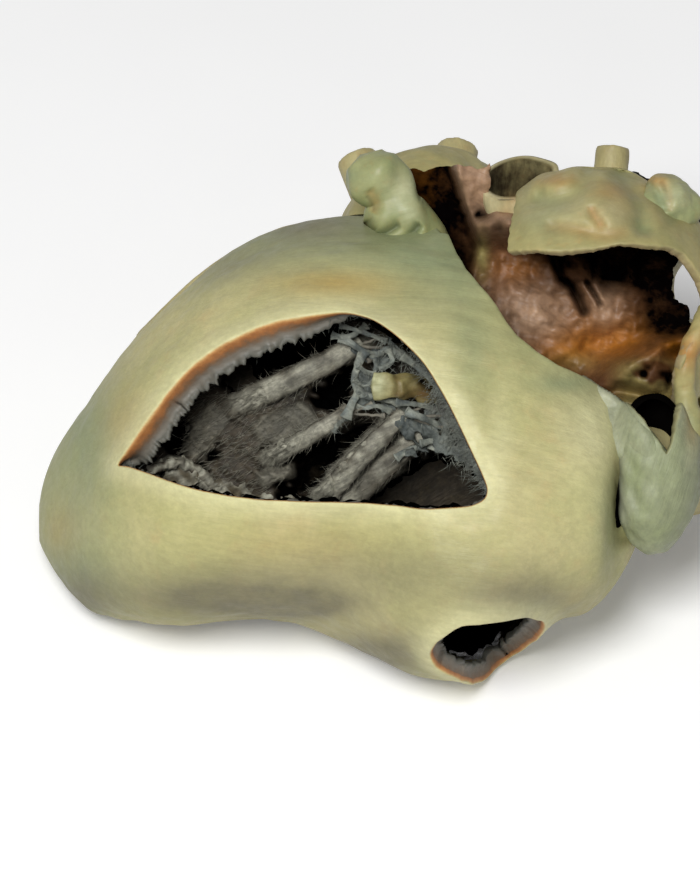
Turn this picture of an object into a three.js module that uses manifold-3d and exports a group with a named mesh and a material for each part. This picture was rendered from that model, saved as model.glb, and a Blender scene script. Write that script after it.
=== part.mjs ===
// A preserved dog heart for teaching, lying on its left side, with viewing windows cut in its walls.
// Millimetres, +Z up. X runs from the apex of the heart (-X) to its base with the great vessels (+X).
// The right side of the heart faces up and forwards. "Caudal" is up and back, "cranial" down and forwards.
import * as THREE from "three";
import { mergeVertices } from "three/addons/utils/BufferGeometryUtils.js";
import Module from "manifold-3d";

const wasm = await Module();
wasm.setup();

// Driving dimensions
const CLEARANCE = 0.3; // gap between pieces that touch
const APEX_X = -51; // tip of the heart
const TAIL_X = 38.5; // where the ventricles round over at the base
const RIGHT_SIDE_TILT = 50; // degrees the right side leans forward from straight up
const SMALLEST_STEP = 0.08; // detail finer than this is smoothed away
const REST_FLAT = 0.8; // how much of the underside is flattened where the heart lies

const LEFT_LOBE = { noseLength: 46, halfDepth: 33, halfHeight: 27, taperFrom: 8, drop: 1, lean: 2.5 };
const RIGHT_LOBE = { noseLength: 20, halfDepth: 24, halfHeight: 21.5, taperFrom: 13, forward: 17 };
const GROOVE_BLEND = 2.5; // softness of the groove between the two lobes
const OUTFLOW_HOLLOW = { x: 24.5, halfLength: 4.5, direction: 215, halfTurn: 34, depth: 4.7 }; // beside the outflow

const RIGHT_WALL = 4.5;
const LEFT_WALL = 10;
const SEPTUM_THICKNESS = 9;
const APEX_WALL_LEFT = 6;
const APEX_WALL_RIGHT = 1.5;
const SEPTUM_CREST = 26; // height of the septum's right face towards the right side, at mid length
const SEPTUM_BASE_DROP = 7; // how much lower that crest is at the base
const SEPTUM_APEX_DROP = 7; // and at the apex
const SEPTUM_BOW = 27; // radius of the septum's bulge into the right ventricle
const SEPTUM_MID_Q = 22;
const SEPTUM_CRANIAL_RISE = 12; // near the apex the septum meets the wall early on the cranial side

const BASE_NORMAL = new THREE.Vector3(0.84, 0.508, 0.191).normalize();
const BASE_OFFSET = 26; // distance of the base plane from the frame's origin along its normal
const PLATE_THICKNESS = 2.5;
const PLATE_INSET = 1.5;

const ATRIUM_WALL = 2.2;
const AURICLE_WALL = 1.8;
const INTERATRIAL_P = 13.4; // place of the interatrial septum along the right-left line
const INTERATRIAL_THICKNESS = 2;
const RIGHT_ATRIUM = { x: 31, q: 37, p: 22, halfX: 19, halfQ: 22, halfP: 18 };
const LEFT_ATRIUM = { x: 7.5, q: 42, p: -1, halfX: 16, halfQ: 20, halfP: 15 };
const RIGHT_AURICLE = { x: 39.5, q: 13.5, p: 31, halfX: 8, halfQ: 12.5, halfP: 7.5 };
const LEFT_AURICLE = { x: 21, q: 25, p: -12.5, halfX: 7.5, halfQ: 9.5, halfP: 5.5 };
// The fold's middle stands this high over the ventricles, in this direction round them in degrees
const ATRIAL_FOLD = { x: 1.2, direction: 59.5, rise: 3, halfX: 6.6, halfQ: 8.8, halfP: 7 };
const FAT_LOBULE_RADIUS = 4.6;

// Valve openings in the base plate: place (q, p) on the base plane, half widths
const TRICUSPID = { q: 30, p: 22.5, along: 7.2, across: 5.2 };
const MITRAL = { q: 33, p: 2, along: 7.2, across: 5.7 };
const AORTIC = { q: 18.5, p: 5, along: 5.2, across: 5.2 };
const PULMONARY = { q: 12.5, p: 26, along: 6, across: 6 };
const AORTA_WALL = 1.8;
const TRUNK_WALL = 1.4;
const VEIN_WALL = 1.2;
const CUSP_THICKNESS = 0.8;
const SEMILUNAR_THICKNESS = 0.6;
const CHORD_RADIUS = 0.45;

// Outlines seen from the right side, as x and q: the large window, the edge of the ventricles under the right
// atrium, and the opening cut in that atrium
const RIGHT_WINDOW = [
  [-39.1, 14.7], [-37.6, 17.4], [-35.6, 20.4], [-33.2, 23.7], [-30.3, 27.4], [-27.1, 30.3], [-22.9, 32.9],
  [-17.9, 35.1], [-12.4, 36.6], [-7.9, 37.2], [-4.7, 37.1], [-1.8, 36.0], [0.9, 34.3], [3.5, 32.1], [6.0, 29.6],
  [8.2, 26.2], [10.0, 22.9], [11.6, 19.6], [13.1, 16.3], [14.4, 13.4], [15.1, 11.2], [14.7, 9.7], [13.2, 8.8],
  [11.2, 8.5], [5.3, 8.7], [-0.6, 9.2], [-7.9, 9.6], [-15.3, 9.8], [-21.2, 10.1], [-26.3, 11.0], [-30.7, 12.2],
  [-34.7, 13.5], [-37.4, 14.3],
];
const ATRIAL_EDGE = [
  [9.3, 49.7], [10.4, 46.5], [11.9, 43.8], [14.1, 40.9], [16.3, 38.4], [17.8, 35.9], [19.3, 34], [22.2, 31.3],
  [25.3, 29.3],
];
const ATRIUM_WINDOW = [
  [8, 60], [18.6, 60], [18.6, 52], [18.1, 46.7], [21.5, 46.2], [25.9, 46.2], [31.8, 46.9], [35, 47.4], [41.3, 47.1],
  [42.9, 46.5], [44.1, 45.6], [45.3, 44.1], [46.9, 41.5], [47.8, 38.4], [47.1, 34.7], [45.6, 32.9], [44.1, 31.5],
  [42.6, 29.1], [41.8, 26.5], [37.6, 26.8], [34.7, 25.6], [31.8, 24.4], [22.9, 21.5], [4, 30],
];
// The smaller window, low on the outflow tract, as x and the angle round the form in degrees
const OUTFLOW_WINDOW = [
  [6.4, 194], [7.1, 190], [8.3, 187.7], [10.4, 184.7], [12.6, 183.4], [17.1, 183], [20.5, 184.5], [23.2, 190],
  [23.6, 197], [22, 210], [19.8, 219], [17.2, 222], [14.2, 216], [11.3, 206.5], [9, 201], [7.2, 198],
];

// Directions: p towards the right side, q towards the caudal side
const tilt = THREE.MathUtils.degToRad(RIGHT_SIDE_TILT);
const P_AXIS = new THREE.Vector3(0, -Math.sin(tilt), Math.cos(tilt));
const Q_AXIS = new THREE.Vector3(0, Math.cos(tilt), Math.sin(tilt));
const at = (x, q, p) => new THREE.Vector3(x, 0, 0).addScaledVector(Q_AXIS, q).addScaledVector(P_AXIS, p);

const smoothstep = (x, low, high) => THREE.MathUtils.smoothstep(x, low, high);
const nose = (x, length, power) => {
  const s = THREE.MathUtils.clamp((x - APEX_X) / length, 0, 1);
  return Math.pow(Math.max(1 - (1 - s) ** 2, 1e-9), power);
};
const tail = (x, from) => {
  const t = THREE.MathUtils.clamp((x - from) / (TAIL_X - from), 0, 1);
  return Math.sqrt(Math.max(1 - t * t, 1e-9));
};

// Cross-sections of the ventricles: an ellipse for each lobe in the plane of one x
function leftLobe(x) {
  const { noseLength, halfDepth, halfHeight, taperFrom, drop, lean } = LEFT_LOBE;
  const shrink = tail(x, taperFrom);
  const full = halfHeight * nose(x, noseLength, 0.57);
  return {
    y:
      2 * smoothstep(x, -30, 0) +
      3 * smoothstep(x, taperFrom, TAIL_X) -
      lean * smoothstep(x, -50, -42) * (1 - smoothstep(x, -34, -20)),
    z: full + 8 * Math.exp(-(x - APEX_X) / 2.5) - drop * smoothstep(x, 0, 30),
    depth: halfDepth * nose(x, noseLength, 0.53) * shrink,
    height: full * shrink,
  };
}
function rightLobe(x) {
  const { noseLength, halfDepth, halfHeight, taperFrom, forward } = RIGHT_LOBE;
  const grow = nose(x, noseLength, 0.5) * (0.5 + 0.5 * smoothstep(x, -30, 10));
  const shrink = tail(x, taperFrom);
  return {
    y: -forward * smoothstep(x, -35, 14) + 3 * smoothstep(x, 12, TAIL_X),
    z: halfHeight * grow + 6 * (1 - smoothstep(x, -35, 8)) + 4.5 * smoothstep(x, 12, TAIL_X),
    depth: halfDepth * grow * shrink,
    height: halfHeight * grow * shrink,
  };
}

// Distance from (y, z) to an ellipse along an angle; 0 where the ray misses it
function rayToEllipse(angle, y, z, e) {
  const dy = Math.cos(angle) / e.depth;
  const dz = Math.sin(angle) / e.height;
  const oy = (y - e.y) / e.depth;
  const oz = (z - e.z) / e.height;
  const a = dy * dy + dz * dz;
  const b = oy * dy + oz * dz;
  const d = b * b - a * (oy * oy + oz * oz - 1);
  return d > 0 ? Math.max((Math.sqrt(d) - b) / a, 0) : 0;
}
const bell = (offset, width) => Math.exp(-((offset / width) ** 2));
const turned = (angle, from) => Math.atan2(Math.sin(angle - from), Math.cos(angle - from));
function outerRadius(x, angle) {
  const left = leftLobe(x);
  const r1 = rayToEllipse(angle, left.y, left.z, left);
  const r2 = rayToEllipse(angle, left.y, left.z, rightLobe(x));
  const near = Math.max(1 - Math.abs(r1 - r2) / (2 * GROOVE_BLEND), 0);
  const hollow = OUTFLOW_HOLLOW;
  const off = turned(angle, THREE.MathUtils.degToRad(hollow.direction));
  const dent = bell(x - hollow.x, hollow.halfLength) * bell(off, THREE.MathUtils.degToRad(hollow.halfTurn));
  return Math.max(r1, r2) + near * near * GROOVE_BLEND * 0.5 - hollow.depth * dent;
}
const RIGHT_ANGLE = Math.atan2(Math.cos(tilt), -Math.sin(tilt));
function wallAt(angle) {
  const off = Math.abs(turned(angle, RIGHT_ANGLE));
  return RIGHT_WALL + (LEFT_WALL - RIGHT_WALL) * smoothstep(off, 1.4, 2.1);
}
function innerRadius(x, angle) {
  const wall = wallAt(angle);
  const leftness = (wall - RIGHT_WALL) / (LEFT_WALL - RIGHT_WALL);
  const apexWall = APEX_WALL_RIGHT + (APEX_WALL_LEFT - APEX_WALL_RIGHT) * leftness;
  const shifted = x - apexWall * (1 - smoothstep(x, -45, 0));
  return Math.max(outerRadius(shifted, angle) - wall, 0.6);
}

// Solids from grids of points
function solidOf(geometry) {
  const g = geometry.clone();
  g.deleteAttribute("normal");
  g.deleteAttribute("uv");
  const merged = mergeVertices(g, 1e-4);
  const make = (triVerts) =>
    new wasm.Manifold(
      new wasm.Mesh({ numProp: 3, vertProperties: Float32Array.from(merged.attributes.position.array), triVerts }),
    );
  const faces = Uint32Array.from(merged.index.array);
  const solid = make(faces);
  if (solid.volume() > 0) return solid;
  for (let i = 0; i < faces.length; i += 3) [faces[i + 1], faces[i + 2]] = [faces[i + 2], faces[i + 1]];
  return make(faces);
}
// rings is a list of rings of points, all as long; the ends are closed by fans, the first one from start if given
function loft(rings, start) {
  const sides = rings[0].length;
  const points = rings.flat();
  const centre = (ring) => ring.reduce((s, v) => s.add(v), new THREE.Vector3()).divideScalar(sides);
  const first = points.length;
  points.push(start ?? centre(rings[0]), centre(rings[rings.length - 1]));
  const faces = [];
  for (let i = 0; i < rings.length - 1; i++)
    for (let j = 0; j < sides; j++) {
      const a = i * sides + j;
      const b = i * sides + ((j + 1) % sides);
      faces.push(a, b, b + sides, a, b + sides, a + sides);
    }
  const last = (rings.length - 1) * sides;
  for (let j = 0; j < sides; j++) {
    faces.push(first, (j + 1) % sides, j);
    faces.push(first + 1, last + j, last + ((j + 1) % sides));
  }
  const g = new THREE.BufferGeometry().setFromPoints(points);
  g.setIndex(faces);
  return solidOf(g);
}
function ventricleLoft(radius, stations, sides, offset = 0) {
  return loft(
    stations.map((x) => {
      const { y, z } = leftLobe(x);
      return Array.from({ length: sides }, (_, j) => {
        const angle = (2 * Math.PI * j) / sides;
        const r = Math.max(radius(x, angle) + offset, 0.2);
        return new THREE.Vector3(x, y + r * Math.cos(angle), z + r * Math.sin(angle));
      });
    }),
  );
}
// A closed slab between two height surfaces over x and q
function slab(low, high, xs, qs) {
  const rings = xs.map((x) => {
    const under = qs.map((q) => at(x, q, low(x, q)));
    const over = qs.map((q) => at(x, q, high(x, q))).reverse();
    return [...under, ...over];
  });
  return loftFlat(rings);
}
// As loft, but each end ring is closed by strips across it, for slabs that bend
function loftFlat(rings) {
  const sides = rings[0].length;
  const points = rings.flat();
  const faces = [];
  for (let i = 0; i < rings.length - 1; i++)
    for (let j = 0; j < sides; j++) {
      const a = i * sides + j;
      const b = i * sides + ((j + 1) % sides);
      faces.push(a, b, b + sides, a, b + sides, a + sides);
    }
  const end = (start, flip) => {
    for (let j = 0; j < sides / 2 - 1; j++) {
      const [a, b, c, d] = [j, j + 1, sides - 2 - j, sides - 1 - j].map((k) => start + k);
      if (flip) faces.push(a, c, b, a, d, c);
      else faces.push(a, b, c, a, c, d);
    }
  };
  end(0, true);
  end((rings.length - 1) * sides, false);
  const g = new THREE.BufferGeometry().setFromPoints(points);
  g.setIndex(faces);
  return solidOf(g);
}
const range = (from, to, count) =>
  Array.from({ length: count }, (_, i) => from + ((to - from) * i) / (count - 1));

// A block that holds everything on the far side of a plane: normal . point > offset
const HUGE = 300;
function beyond(normal, offset) {
  const g = new THREE.BoxGeometry(HUGE, HUGE, HUGE);
  g.translate(0, 0, HUGE / 2);
  g.applyQuaternion(new THREE.Quaternion().setFromUnitVectors(new THREE.Vector3(0, 0, 1), normal));
  g.translate(normal.x * offset, normal.y * offset, normal.z * offset);
  return solidOf(g);
}
// A tube or strand along points, with a radius for each place along it from 0 to 1
function strand(points, radius, sides = 8, steps = 10, flatten = 1) {
  const curve = new THREE.CatmullRomCurve3(points);
  const frames = curve.computeFrenetFrames(steps);
  return loft(
    range(0, 1, steps + 1).map((t, i) => {
      const c = curve.getPointAt(t);
      return Array.from({ length: sides }, (_, j) => {
        const a = (2 * Math.PI * j) / sides;
        const r = radius(t);
        return c
          .clone()
          .addScaledVector(frames.normals[i], r * Math.cos(a))
          .addScaledVector(frames.binormals[i], r * Math.sin(a) * flatten);
      });
    }),
  );
}
// A thin curved leaf: point(u, v) over 0..1, given a thickness along its normal
function leaf(point, nu, nv, thickness) {
  const step = 1e-3;
  const side = (u, v, sign) => {
    const du = point(u + step, v).sub(point(u - step, v));
    const dv = point(u, v + step).sub(point(u, v - step));
    return point(u, v).addScaledVector(du.cross(dv).normalize(), (sign * thickness) / 2);
  };
  const rings = range(0, 1, nu).map((u) => {
    const vs = range(0, 1, nv);
    return [...vs.map((v) => side(u, v, -1)), ...vs.map((v) => side(u, v, 1)).reverse()];
  });
  return loftFlat(rings);
}
// An ellipsoid with its axes along x, q and p
function ovoid({ x, q, p, halfX, halfQ, halfP }, grow = 0, across = 20, along = 12) {
  const g = new THREE.SphereGeometry(1, across, along);
  const m = new THREE.Matrix4().makeBasis(
    new THREE.Vector3(halfX + grow, 0, 0),
    Q_AXIS.clone().multiplyScalar(halfQ + grow),
    P_AXIS.clone().multiplyScalar(halfP + grow),
  );
  g.applyMatrix4(m.setPosition(at(x, q, p)));
  return solidOf(g);
}
// A cutter with an outline in the plane square to a direction
function prism(shape, origin, direction, upHint, depth, curveSegments = 6) {
  const g = new THREE.ExtrudeGeometry(shape, { depth, bevelEnabled: false, curveSegments });
  g.translate(0, 0, -depth / 2);
  const w = direction.clone().normalize();
  const u = new THREE.Vector3().crossVectors(upHint, w).normalize();
  g.applyMatrix4(new THREE.Matrix4().makeBasis(u, new THREE.Vector3().crossVectors(w, u), w).setPosition(origin));
  return solidOf(g);
}

// Ventricles
const OUTER_STATIONS = [
  -50.9, -50.2, -48.8, -46.5, -43, -38.5, -33, -26, -19, -12, -5, 2, 9, 15, 19, 22, 25, 28, 31, 34, 36.2, 37.4,
];
const INNER_STATIONS = [-43.5, -42, -39, -35, -29, -22, -15, -8, -1, 6, 13, 19, 25, 30, 33.5, 35.5];
const SIDES = 36;
const PLATE_TOP = CLEARANCE + PLATE_THICKNESS;
const basePlane = (h) => beyond(BASE_NORMAL, BASE_OFFSET + h);
const BASE_U = new THREE.Vector3().crossVectors(Q_AXIS, BASE_NORMAL).normalize();
const BASE_V = new THREE.Vector3().crossVectors(BASE_NORMAL, BASE_U);
const onBase = (q, p, h = 0) => {
  const x = (BASE_OFFSET - at(0, q, p).dot(BASE_NORMAL)) / BASE_NORMAL.x;
  return at(x, q, p).addScaledVector(BASE_NORMAL, h);
};

// Points on and near the outer form
function formPoint(x, angle) {
  const { y, z } = leftLobe(x);
  const r = outerRadius(x, angle);
  return new THREE.Vector3(x, y + r * Math.cos(angle), z + r * Math.sin(angle));
}
function formNormal(x, angle) {
  const step = 0.01;
  const alongX = formPoint(x + step, angle).sub(formPoint(x - step, angle));
  const round = formPoint(x, angle + step).sub(formPoint(x, angle - step));
  return round.cross(alongX).normalize();
}
// The angle at which the near side passes through x and q, by halving
function angleAt(x, q) {
  let low = THREE.MathUtils.degToRad(55);
  let high = THREE.MathUtils.degToRad(195);
  for (let i = 0; i < 30; i++) {
    const middle = (low + high) / 2;
    if (formPoint(x, middle).dot(Q_AXIS) > q) low = middle;
    else high = middle;
  }
  return (low + high) / 2;
}

// The ventricles end at the base plane, but lower where their edge dips under the right atrium
const BASE_MIDDLE = onBase(24, 14);
const EDGE_DIPS = ATRIAL_EDGE.map(([x, q]) => {
  const from = formPoint(x, angleAt(x, q)).sub(BASE_MIDDLE);
  const [u, v, height] = [BASE_U, BASE_V, BASE_NORMAL].map((axis) => from.dot(axis));
  return { turn: Math.atan2(v, u), slope: height / Math.hypot(u, v) };
}).sort((a, b) => a.turn - b.turn);
function dipSlope(turn) {
  const after = EDGE_DIPS.findIndex((dip) => dip.turn >= turn);
  if (after < 1) return 0;
  const [a, b] = [EDGE_DIPS[after - 1], EDGE_DIPS[after]];
  return Math.min(THREE.MathUtils.mapLinear(turn, a.turn, b.turn, a.slope, b.slope), 0);
}
// Everything beyond the ventricles' edge, raised by h
function beyondEdge(h) {
  const ring = range(-Math.PI, Math.PI, 73).slice(0, -1).map((turn) =>
    BASE_MIDDLE.clone()
      .addScaledVector(BASE_U, HUGE * Math.cos(turn))
      .addScaledVector(BASE_V, HUGE * Math.sin(turn))
      .addScaledVector(BASE_NORMAL, HUGE * dipSlope(turn) + h),
  );
  const centre = BASE_MIDDLE.clone().addScaledVector(BASE_NORMAL, h);
  return loft([ring, ring.map((v) => v.clone().addScaledVector(BASE_NORMAL, HUGE))], centre);
}
// A cutter through the wall, from (x, angle) places on the outer form: square to the wall all round up to just
// above it, and on from there along one way out, or along that one way throughout
function wallCutter(outline, wayOut) {
  const normals = outline.map(([x, angle]) => formNormal(x, angle));
  const mean = normals.reduce((s, v) => s.add(v), new THREE.Vector3()).normalize();
  const ring = (h) =>
    outline.map(([x, angle], i) => formPoint(x, angle).addScaledVector(wayOut ? normals[i] : mean, h));
  const above = 1.5;
  const rings = [ring(-RIGHT_WALL - 2.5), ring(0), ring(above)];
  rings.push(ring(above).map((v) => v.addScaledVector(wayOut ?? mean, 15)));
  return loft(rings);
}
const ventricles = ventricleLoft(outerRadius, OUTER_STATIONS, SIDES);
const chambers = ventricleLoft(innerRadius, INNER_STATIONS, SIDES);
const underside = beyond(new THREE.Vector3(0, 0, -1), -REST_FLAT);

// The septum's right face, as a height towards the right side
const septumFace = (x, q) => {
  const apex = 1 - smoothstep(x, -40, -10);
  const rise = SEPTUM_CRANIAL_RISE * (1 - smoothstep(x, -30, -6)) * (1 - smoothstep(q, 0, 12));
  const bow = (q - SEPTUM_MID_Q + 8 * apex) ** 2 / (2 * SEPTUM_BOW);
  return SEPTUM_CREST - SEPTUM_BASE_DROP * smoothstep(x, -10, 22) - SEPTUM_APEX_DROP * apex - bow + rise;
};
const SEPTUM_XS = range(-52, 44, 13);
const SEPTUM_QS = [-34, -18, -9, -4, 0, 4, 8, 13, 19, 26, 34, 43, 55, 72];
const septumSlab = (low, high) =>
  slab(
    (x, q) => septumFace(x, q) + low,
    (x, q) => septumFace(x, q) + high,
    SEPTUM_XS,
    SEPTUM_QS,
  );
const FAR = 120;
const shell = ventricles.subtract(chambers).subtract(beyondEdge(0)).subtract(underside);
const rightOfSplit = septumSlab(CLEARANCE - SEPTUM_THICKNESS / 2, FAR);
const leftOfSplit = septumSlab(-FAR, -SEPTUM_THICKNESS / 2);

// The large window into the right ventricle, and the smaller one into its outflow tract
const rightWindow = wallCutter(
  RIGHT_WINDOW.map(([x, q]) => [x, angleAt(x, q)]),
  P_AXIS,
);
const outflowWindow = wallCutter(OUTFLOW_WINDOW.map(([x, degrees]) => [x, THREE.MathUtils.degToRad(degrees)]));

const rightWall = shell.intersect(rightOfSplit).subtract(rightWindow).subtract(outflowWindow);
const leftWall = shell.intersect(leftOfSplit);
const chamberRoom = ventricleLoft(innerRadius, INNER_STATIONS, SIDES, -CLEARANCE);
const chamberFit = chamberRoom.subtract(beyondEdge(-CLEARANCE));
const septum = chamberFit.intersect(septumSlab(-SEPTUM_THICKNESS, 0));
const rightChamber = chamberFit.intersect(septumSlab(CLEARANCE, FAR));
const leftChamber = chamberFit.intersect(septumSlab(-FAR, -SEPTUM_THICKNESS - CLEARANCE));
// The muscle with a clearance round it, which flaps and chords keep out of
const muscleRoom = ventricles
  .subtract(chamberRoom)
  .add(chamberRoom.intersect(septumSlab(-SEPTUM_THICKNESS - CLEARANCE, CLEARANCE)))
  .subtract(beyondEdge(CLEARANCE));

// Base plate with the four valve openings
// A point of a valve ring: turn runs once round it, inset and h move it inwards and off the plane
function ringPoint({ q, p, along, across }, turn, inset, h) {
  const a = 2 * Math.PI * turn;
  return onBase(q, p, h)
    .addScaledVector(BASE_U, (across - inset) * Math.cos(a))
    .addScaledVector(BASE_V, (along - inset) * Math.sin(a));
}
function orifice({ q, p, along, across }, depth = 12) {
  const shape = new THREE.Shape().absellipse(0, 0, across, along, 0, 2 * Math.PI);
  return prism(shape, onBase(q, p), BASE_NORMAL, Q_AXIS, depth, 10);
}
const plateBody = ventricleLoft(outerRadius, OUTER_STATIONS, SIDES, -PLATE_INSET)
  .intersect(beyondEdge(CLEARANCE))
  .subtract(beyondEdge(PLATE_TOP));
const basePlate = [TRICUSPID, MITRAL, AORTIC, PULMONARY].reduce((s, v) => s.subtract(orifice(v)), plateBody);

// Flaps of the two inflow valves: they hang from the ring and narrow towards their free edge
const CUSP_SEAT = CLEARANCE + CUSP_THICKNESS / 2;
function flapPoint(ring, from, to, length, u, v) {
  const droop = length * (0.55 + 0.45 * Math.sin(Math.PI * u));
  const inset = CUSP_SEAT + (ring.across - 2.2) * v * v;
  return ringPoint(ring, from + (to - from) * u, inset, 1.5 - (droop + 1.5) * v);
}
const flap = (ring, from, to, length) =>
  largest(leaf((u, v) => flapPoint(ring, from, to, length, u, v), 8, 4, CUSP_THICKNESS).subtract(muscleRoom));

// Pocket cusps of the two outflow valves, three to a ring
function pocket(ring, which) {
  const seat = 2 * CLEARANCE + SEMILUNAR_THICKNESS / 2;
  const point = (u, v) => {
    const belly = Math.sin(Math.PI * u);
    const inset = seat + ring.across * 0.72 * belly * v * v;
    return ringPoint(ring, (which + 0.06 + 0.88 * u) / 3, inset, 1.2 + 4.2 * (1 - belly) * (1 - v) + 6 * v);
  };
  return leaf(point, 7, 3, SEMILUNAR_THICKNESS);
}

// Papillary muscles taper from the wall to a tip; chords fan from the tip to the flaps' free edges
function papillary(points, thick, thin, chamber) {
  const muscle = strand(points, (t) => thick + (thin - thick) * t, 8, 6).intersect(chamber);
  return largest(muscle);
}
function chords(tip, ends, bow) {
  const knot = new THREE.SphereGeometry(CHORD_RADIUS * 2.2, 5, 3).translate(tip.x, tip.y, tip.z);
  const fan = ends.reduce((s, end) => {
    const middle = tip.clone().lerp(end, 0.5).addScaledVector(P_AXIS, bow);
    return s.add(strand([tip, middle, end], () => CHORD_RADIUS, 4, 3));
  }, solidOf(knot));
  return largest(fan.subtract(muscleRoom));
}
function largest(solid) {
  return solid.decompose().sort((a, b) => b.volume() - a.volume())[0];
}

const nodes = {};
nodes.left_ventricle_wall = leftWall;
nodes.right_ventricle_wall = largest(rightWall);
nodes.interventricular_septum = largest(septum);
nodes.fibrous_base_plate = basePlate;

const FLAPS = {
  tricuspid_parietal_cusp: [TRICUSPID, 0.28, 0.72, 13],
  tricuspid_septal_cusp: [TRICUSPID, -0.22, 0.22, 8],
  mitral_septal_cusp: [MITRAL, 0.28, 0.72, 11],
  mitral_parietal_cusp: [MITRAL, -0.22, 0.22, 7],
};
for (const [name, flapDims] of Object.entries(FLAPS)) nodes[name] = flap(...flapDims);
for (const which of [0, 1, 2]) {
  nodes[`aortic_cusp_${which + 1}`] = pocket(AORTIC, which);
  nodes[`pulmonary_cusp_${which + 1}`] = pocket(PULMONARY, which);
}

// Right ventricle: three muscles off the septum, each as x, q, height above the septum
const onSeptum = (x, q, rise) => at(x, q, septumFace(x, q) + rise);
const RIGHT_MUSCLES = {
  cranial: { path: [[-12, 9, -1], [-5, 14.5, 2], [1.5, 19.5, 4.5]], thick: 2.6, thin: 1.3 },
  middle: { path: [[-19, 14.5, -1], [-12, 18, 2], [-5.5, 22.5, 4]], thick: 2.4, thin: 1.2 },
  caudal: { path: [[-24, 23, -1], [-14, 27, 1.5], [-4.5, 31, 3.5]], thick: 2.4, thin: 1.2 },
};
const LEFT_MUSCLES = {
  cranial: { path: [[-27, 6, 2], [-14, 11, 3], [-2, 16, 4]], thick: 5, thin: 3 },
  caudal: { path: [[-27, 30, -1], [-14, 31, 1], [-3, 30, 3]], thick: 5, thin: 3 },
};
const freeEdge = (name, u) => {
  const [ring, from, to, length] = FLAPS[name];
  const edge = flapPoint(ring, from, to, length, u, 1);
  return edge.addScaledVector(edge.clone().sub(flapPoint(ring, from, to, length, u, 0.9)).normalize(), 1.4);
};
const tipBeyond = (points, gap) => {
  const [before, last] = points.slice(-2);
  return last.clone().addScaledVector(last.clone().sub(before).normalize(), gap);
};
const RIGHT_CHORD_ENDS = {
  cranial: [0.93, 0.85, 0.77],
  middle: [0.56, 0.48, 0.4],
  caudal: [0.3, 0.2, 0.1],
};
const LEFT_CHORD_ENDS = { cranial: [0.9, 0.77, 0.64], caudal: [0.36, 0.23, 0.1] };
for (const [side, { path, thick, thin }] of Object.entries(RIGHT_MUSCLES)) {
  const points = path.map((c) => onSeptum(...c));
  nodes[`right_papillary_${side}`] = papillary(points, thick, thin, rightChamber);
  const ends = RIGHT_CHORD_ENDS[side].map((u) => freeEdge("tricuspid_parietal_cusp", u));
  nodes[`right_chords_${side}`] = chords(tipBeyond(points, CLEARANCE + CHORD_RADIUS * 2.2), ends, 1);
}
for (const [side, { path, thick, thin }] of Object.entries(LEFT_MUSCLES)) {
  const points = path.map((c) => at(...c));
  nodes[`left_papillary_${side}`] = papillary(points, thick, thin, leftChamber);
  const ends = LEFT_CHORD_ENDS[side].map((u) => freeEdge("mitral_septal_cusp", u));
  nodes[`left_chords_${side}`] = chords(tipBeyond(points, CLEARANCE + CHORD_RADIUS * 2.2), ends, -0.5);
}
// A band of muscle crosses the right ventricle from the septum to its outer wall
nodes.septomarginal_band = largest(
  strand([onSeptum(-24, 15, -1), onSeptum(-27, 14, 5), onSeptum(-31, 13, 14)], () => 1.3, 7, 6).intersect(
    rightChamber,
  ),
);

// Great vessels: tubes whose bore runs on from the valve ring
const endMoved = (points, by) => {
  const [before, last] = points.slice(-2);
  return [...points.slice(0, -1), last.clone().addScaledVector(last.clone().sub(before).normalize(), by)];
};
const aortaPath = [
  ...[-1, 6, 13].map((h) => onBase(AORTIC.q, AORTIC.p, PLATE_TOP + h)),
  at(40.5, 28, -2),
  at(45.5, 30.5, -5),
];
const AORTA_RADIUS = AORTIC.along + AORTA_WALL;
const beyondPlate = basePlane(PLATE_TOP + CLEARANCE);
const aorta = strand(aortaPath, () => AORTA_RADIUS, 18, 7).intersect(beyondPlate);
const aortaBore = strand(endMoved(aortaPath, 1), () => AORTIC.along, 18, 7);
const aortaRoom = strand(aortaPath, () => AORTA_RADIUS + CLEARANCE, 18, 7);

const trunkPath = [
  ...[-1, 3].map((h) => onBase(PULMONARY.q, PULMONARY.p, PLATE_TOP + h)),
  at(42.3, 15.5, 18),
  at(45.5, 14, 6),
];
const TRUNK_RADIUS = PULMONARY.along + TRUNK_WALL;
const dome = (t) => (t > 0.86 ? Math.sqrt(Math.max(1 - ((t - 0.86) / 0.15) ** 2, 0.02)) : 1);
const trunk = strand(trunkPath, (t) => TRUNK_RADIUS * dome(t), 18, 9).intersect(beyondPlate);
const trunkBore = strand(
  endMoved([trunkPath[0].clone().addScaledVector(BASE_NORMAL, -0.5), ...trunkPath.slice(1)], -TRUNK_WALL),
  (t) => Math.max(TRUNK_RADIUS * dome(t) - TRUNK_WALL, 1),
  18,
  9,
);
const trunkRoom = strand(trunkPath, (t) => TRUNK_RADIUS * dome(t) + CLEARANCE, 18, 9);
const BRANCH_RADIUS = 4;
const branchPaths = {
  right_pulmonary_artery: [at(43.5, 14, 12), at(46, 20, 11), at(48.5, 26, 10)],
  left_pulmonary_artery: [at(44.5, 14, 8), at(48, 13, 2), at(51, 12.5, -2)],
};
let trunkWall = trunk.subtract(trunkBore);

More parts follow.
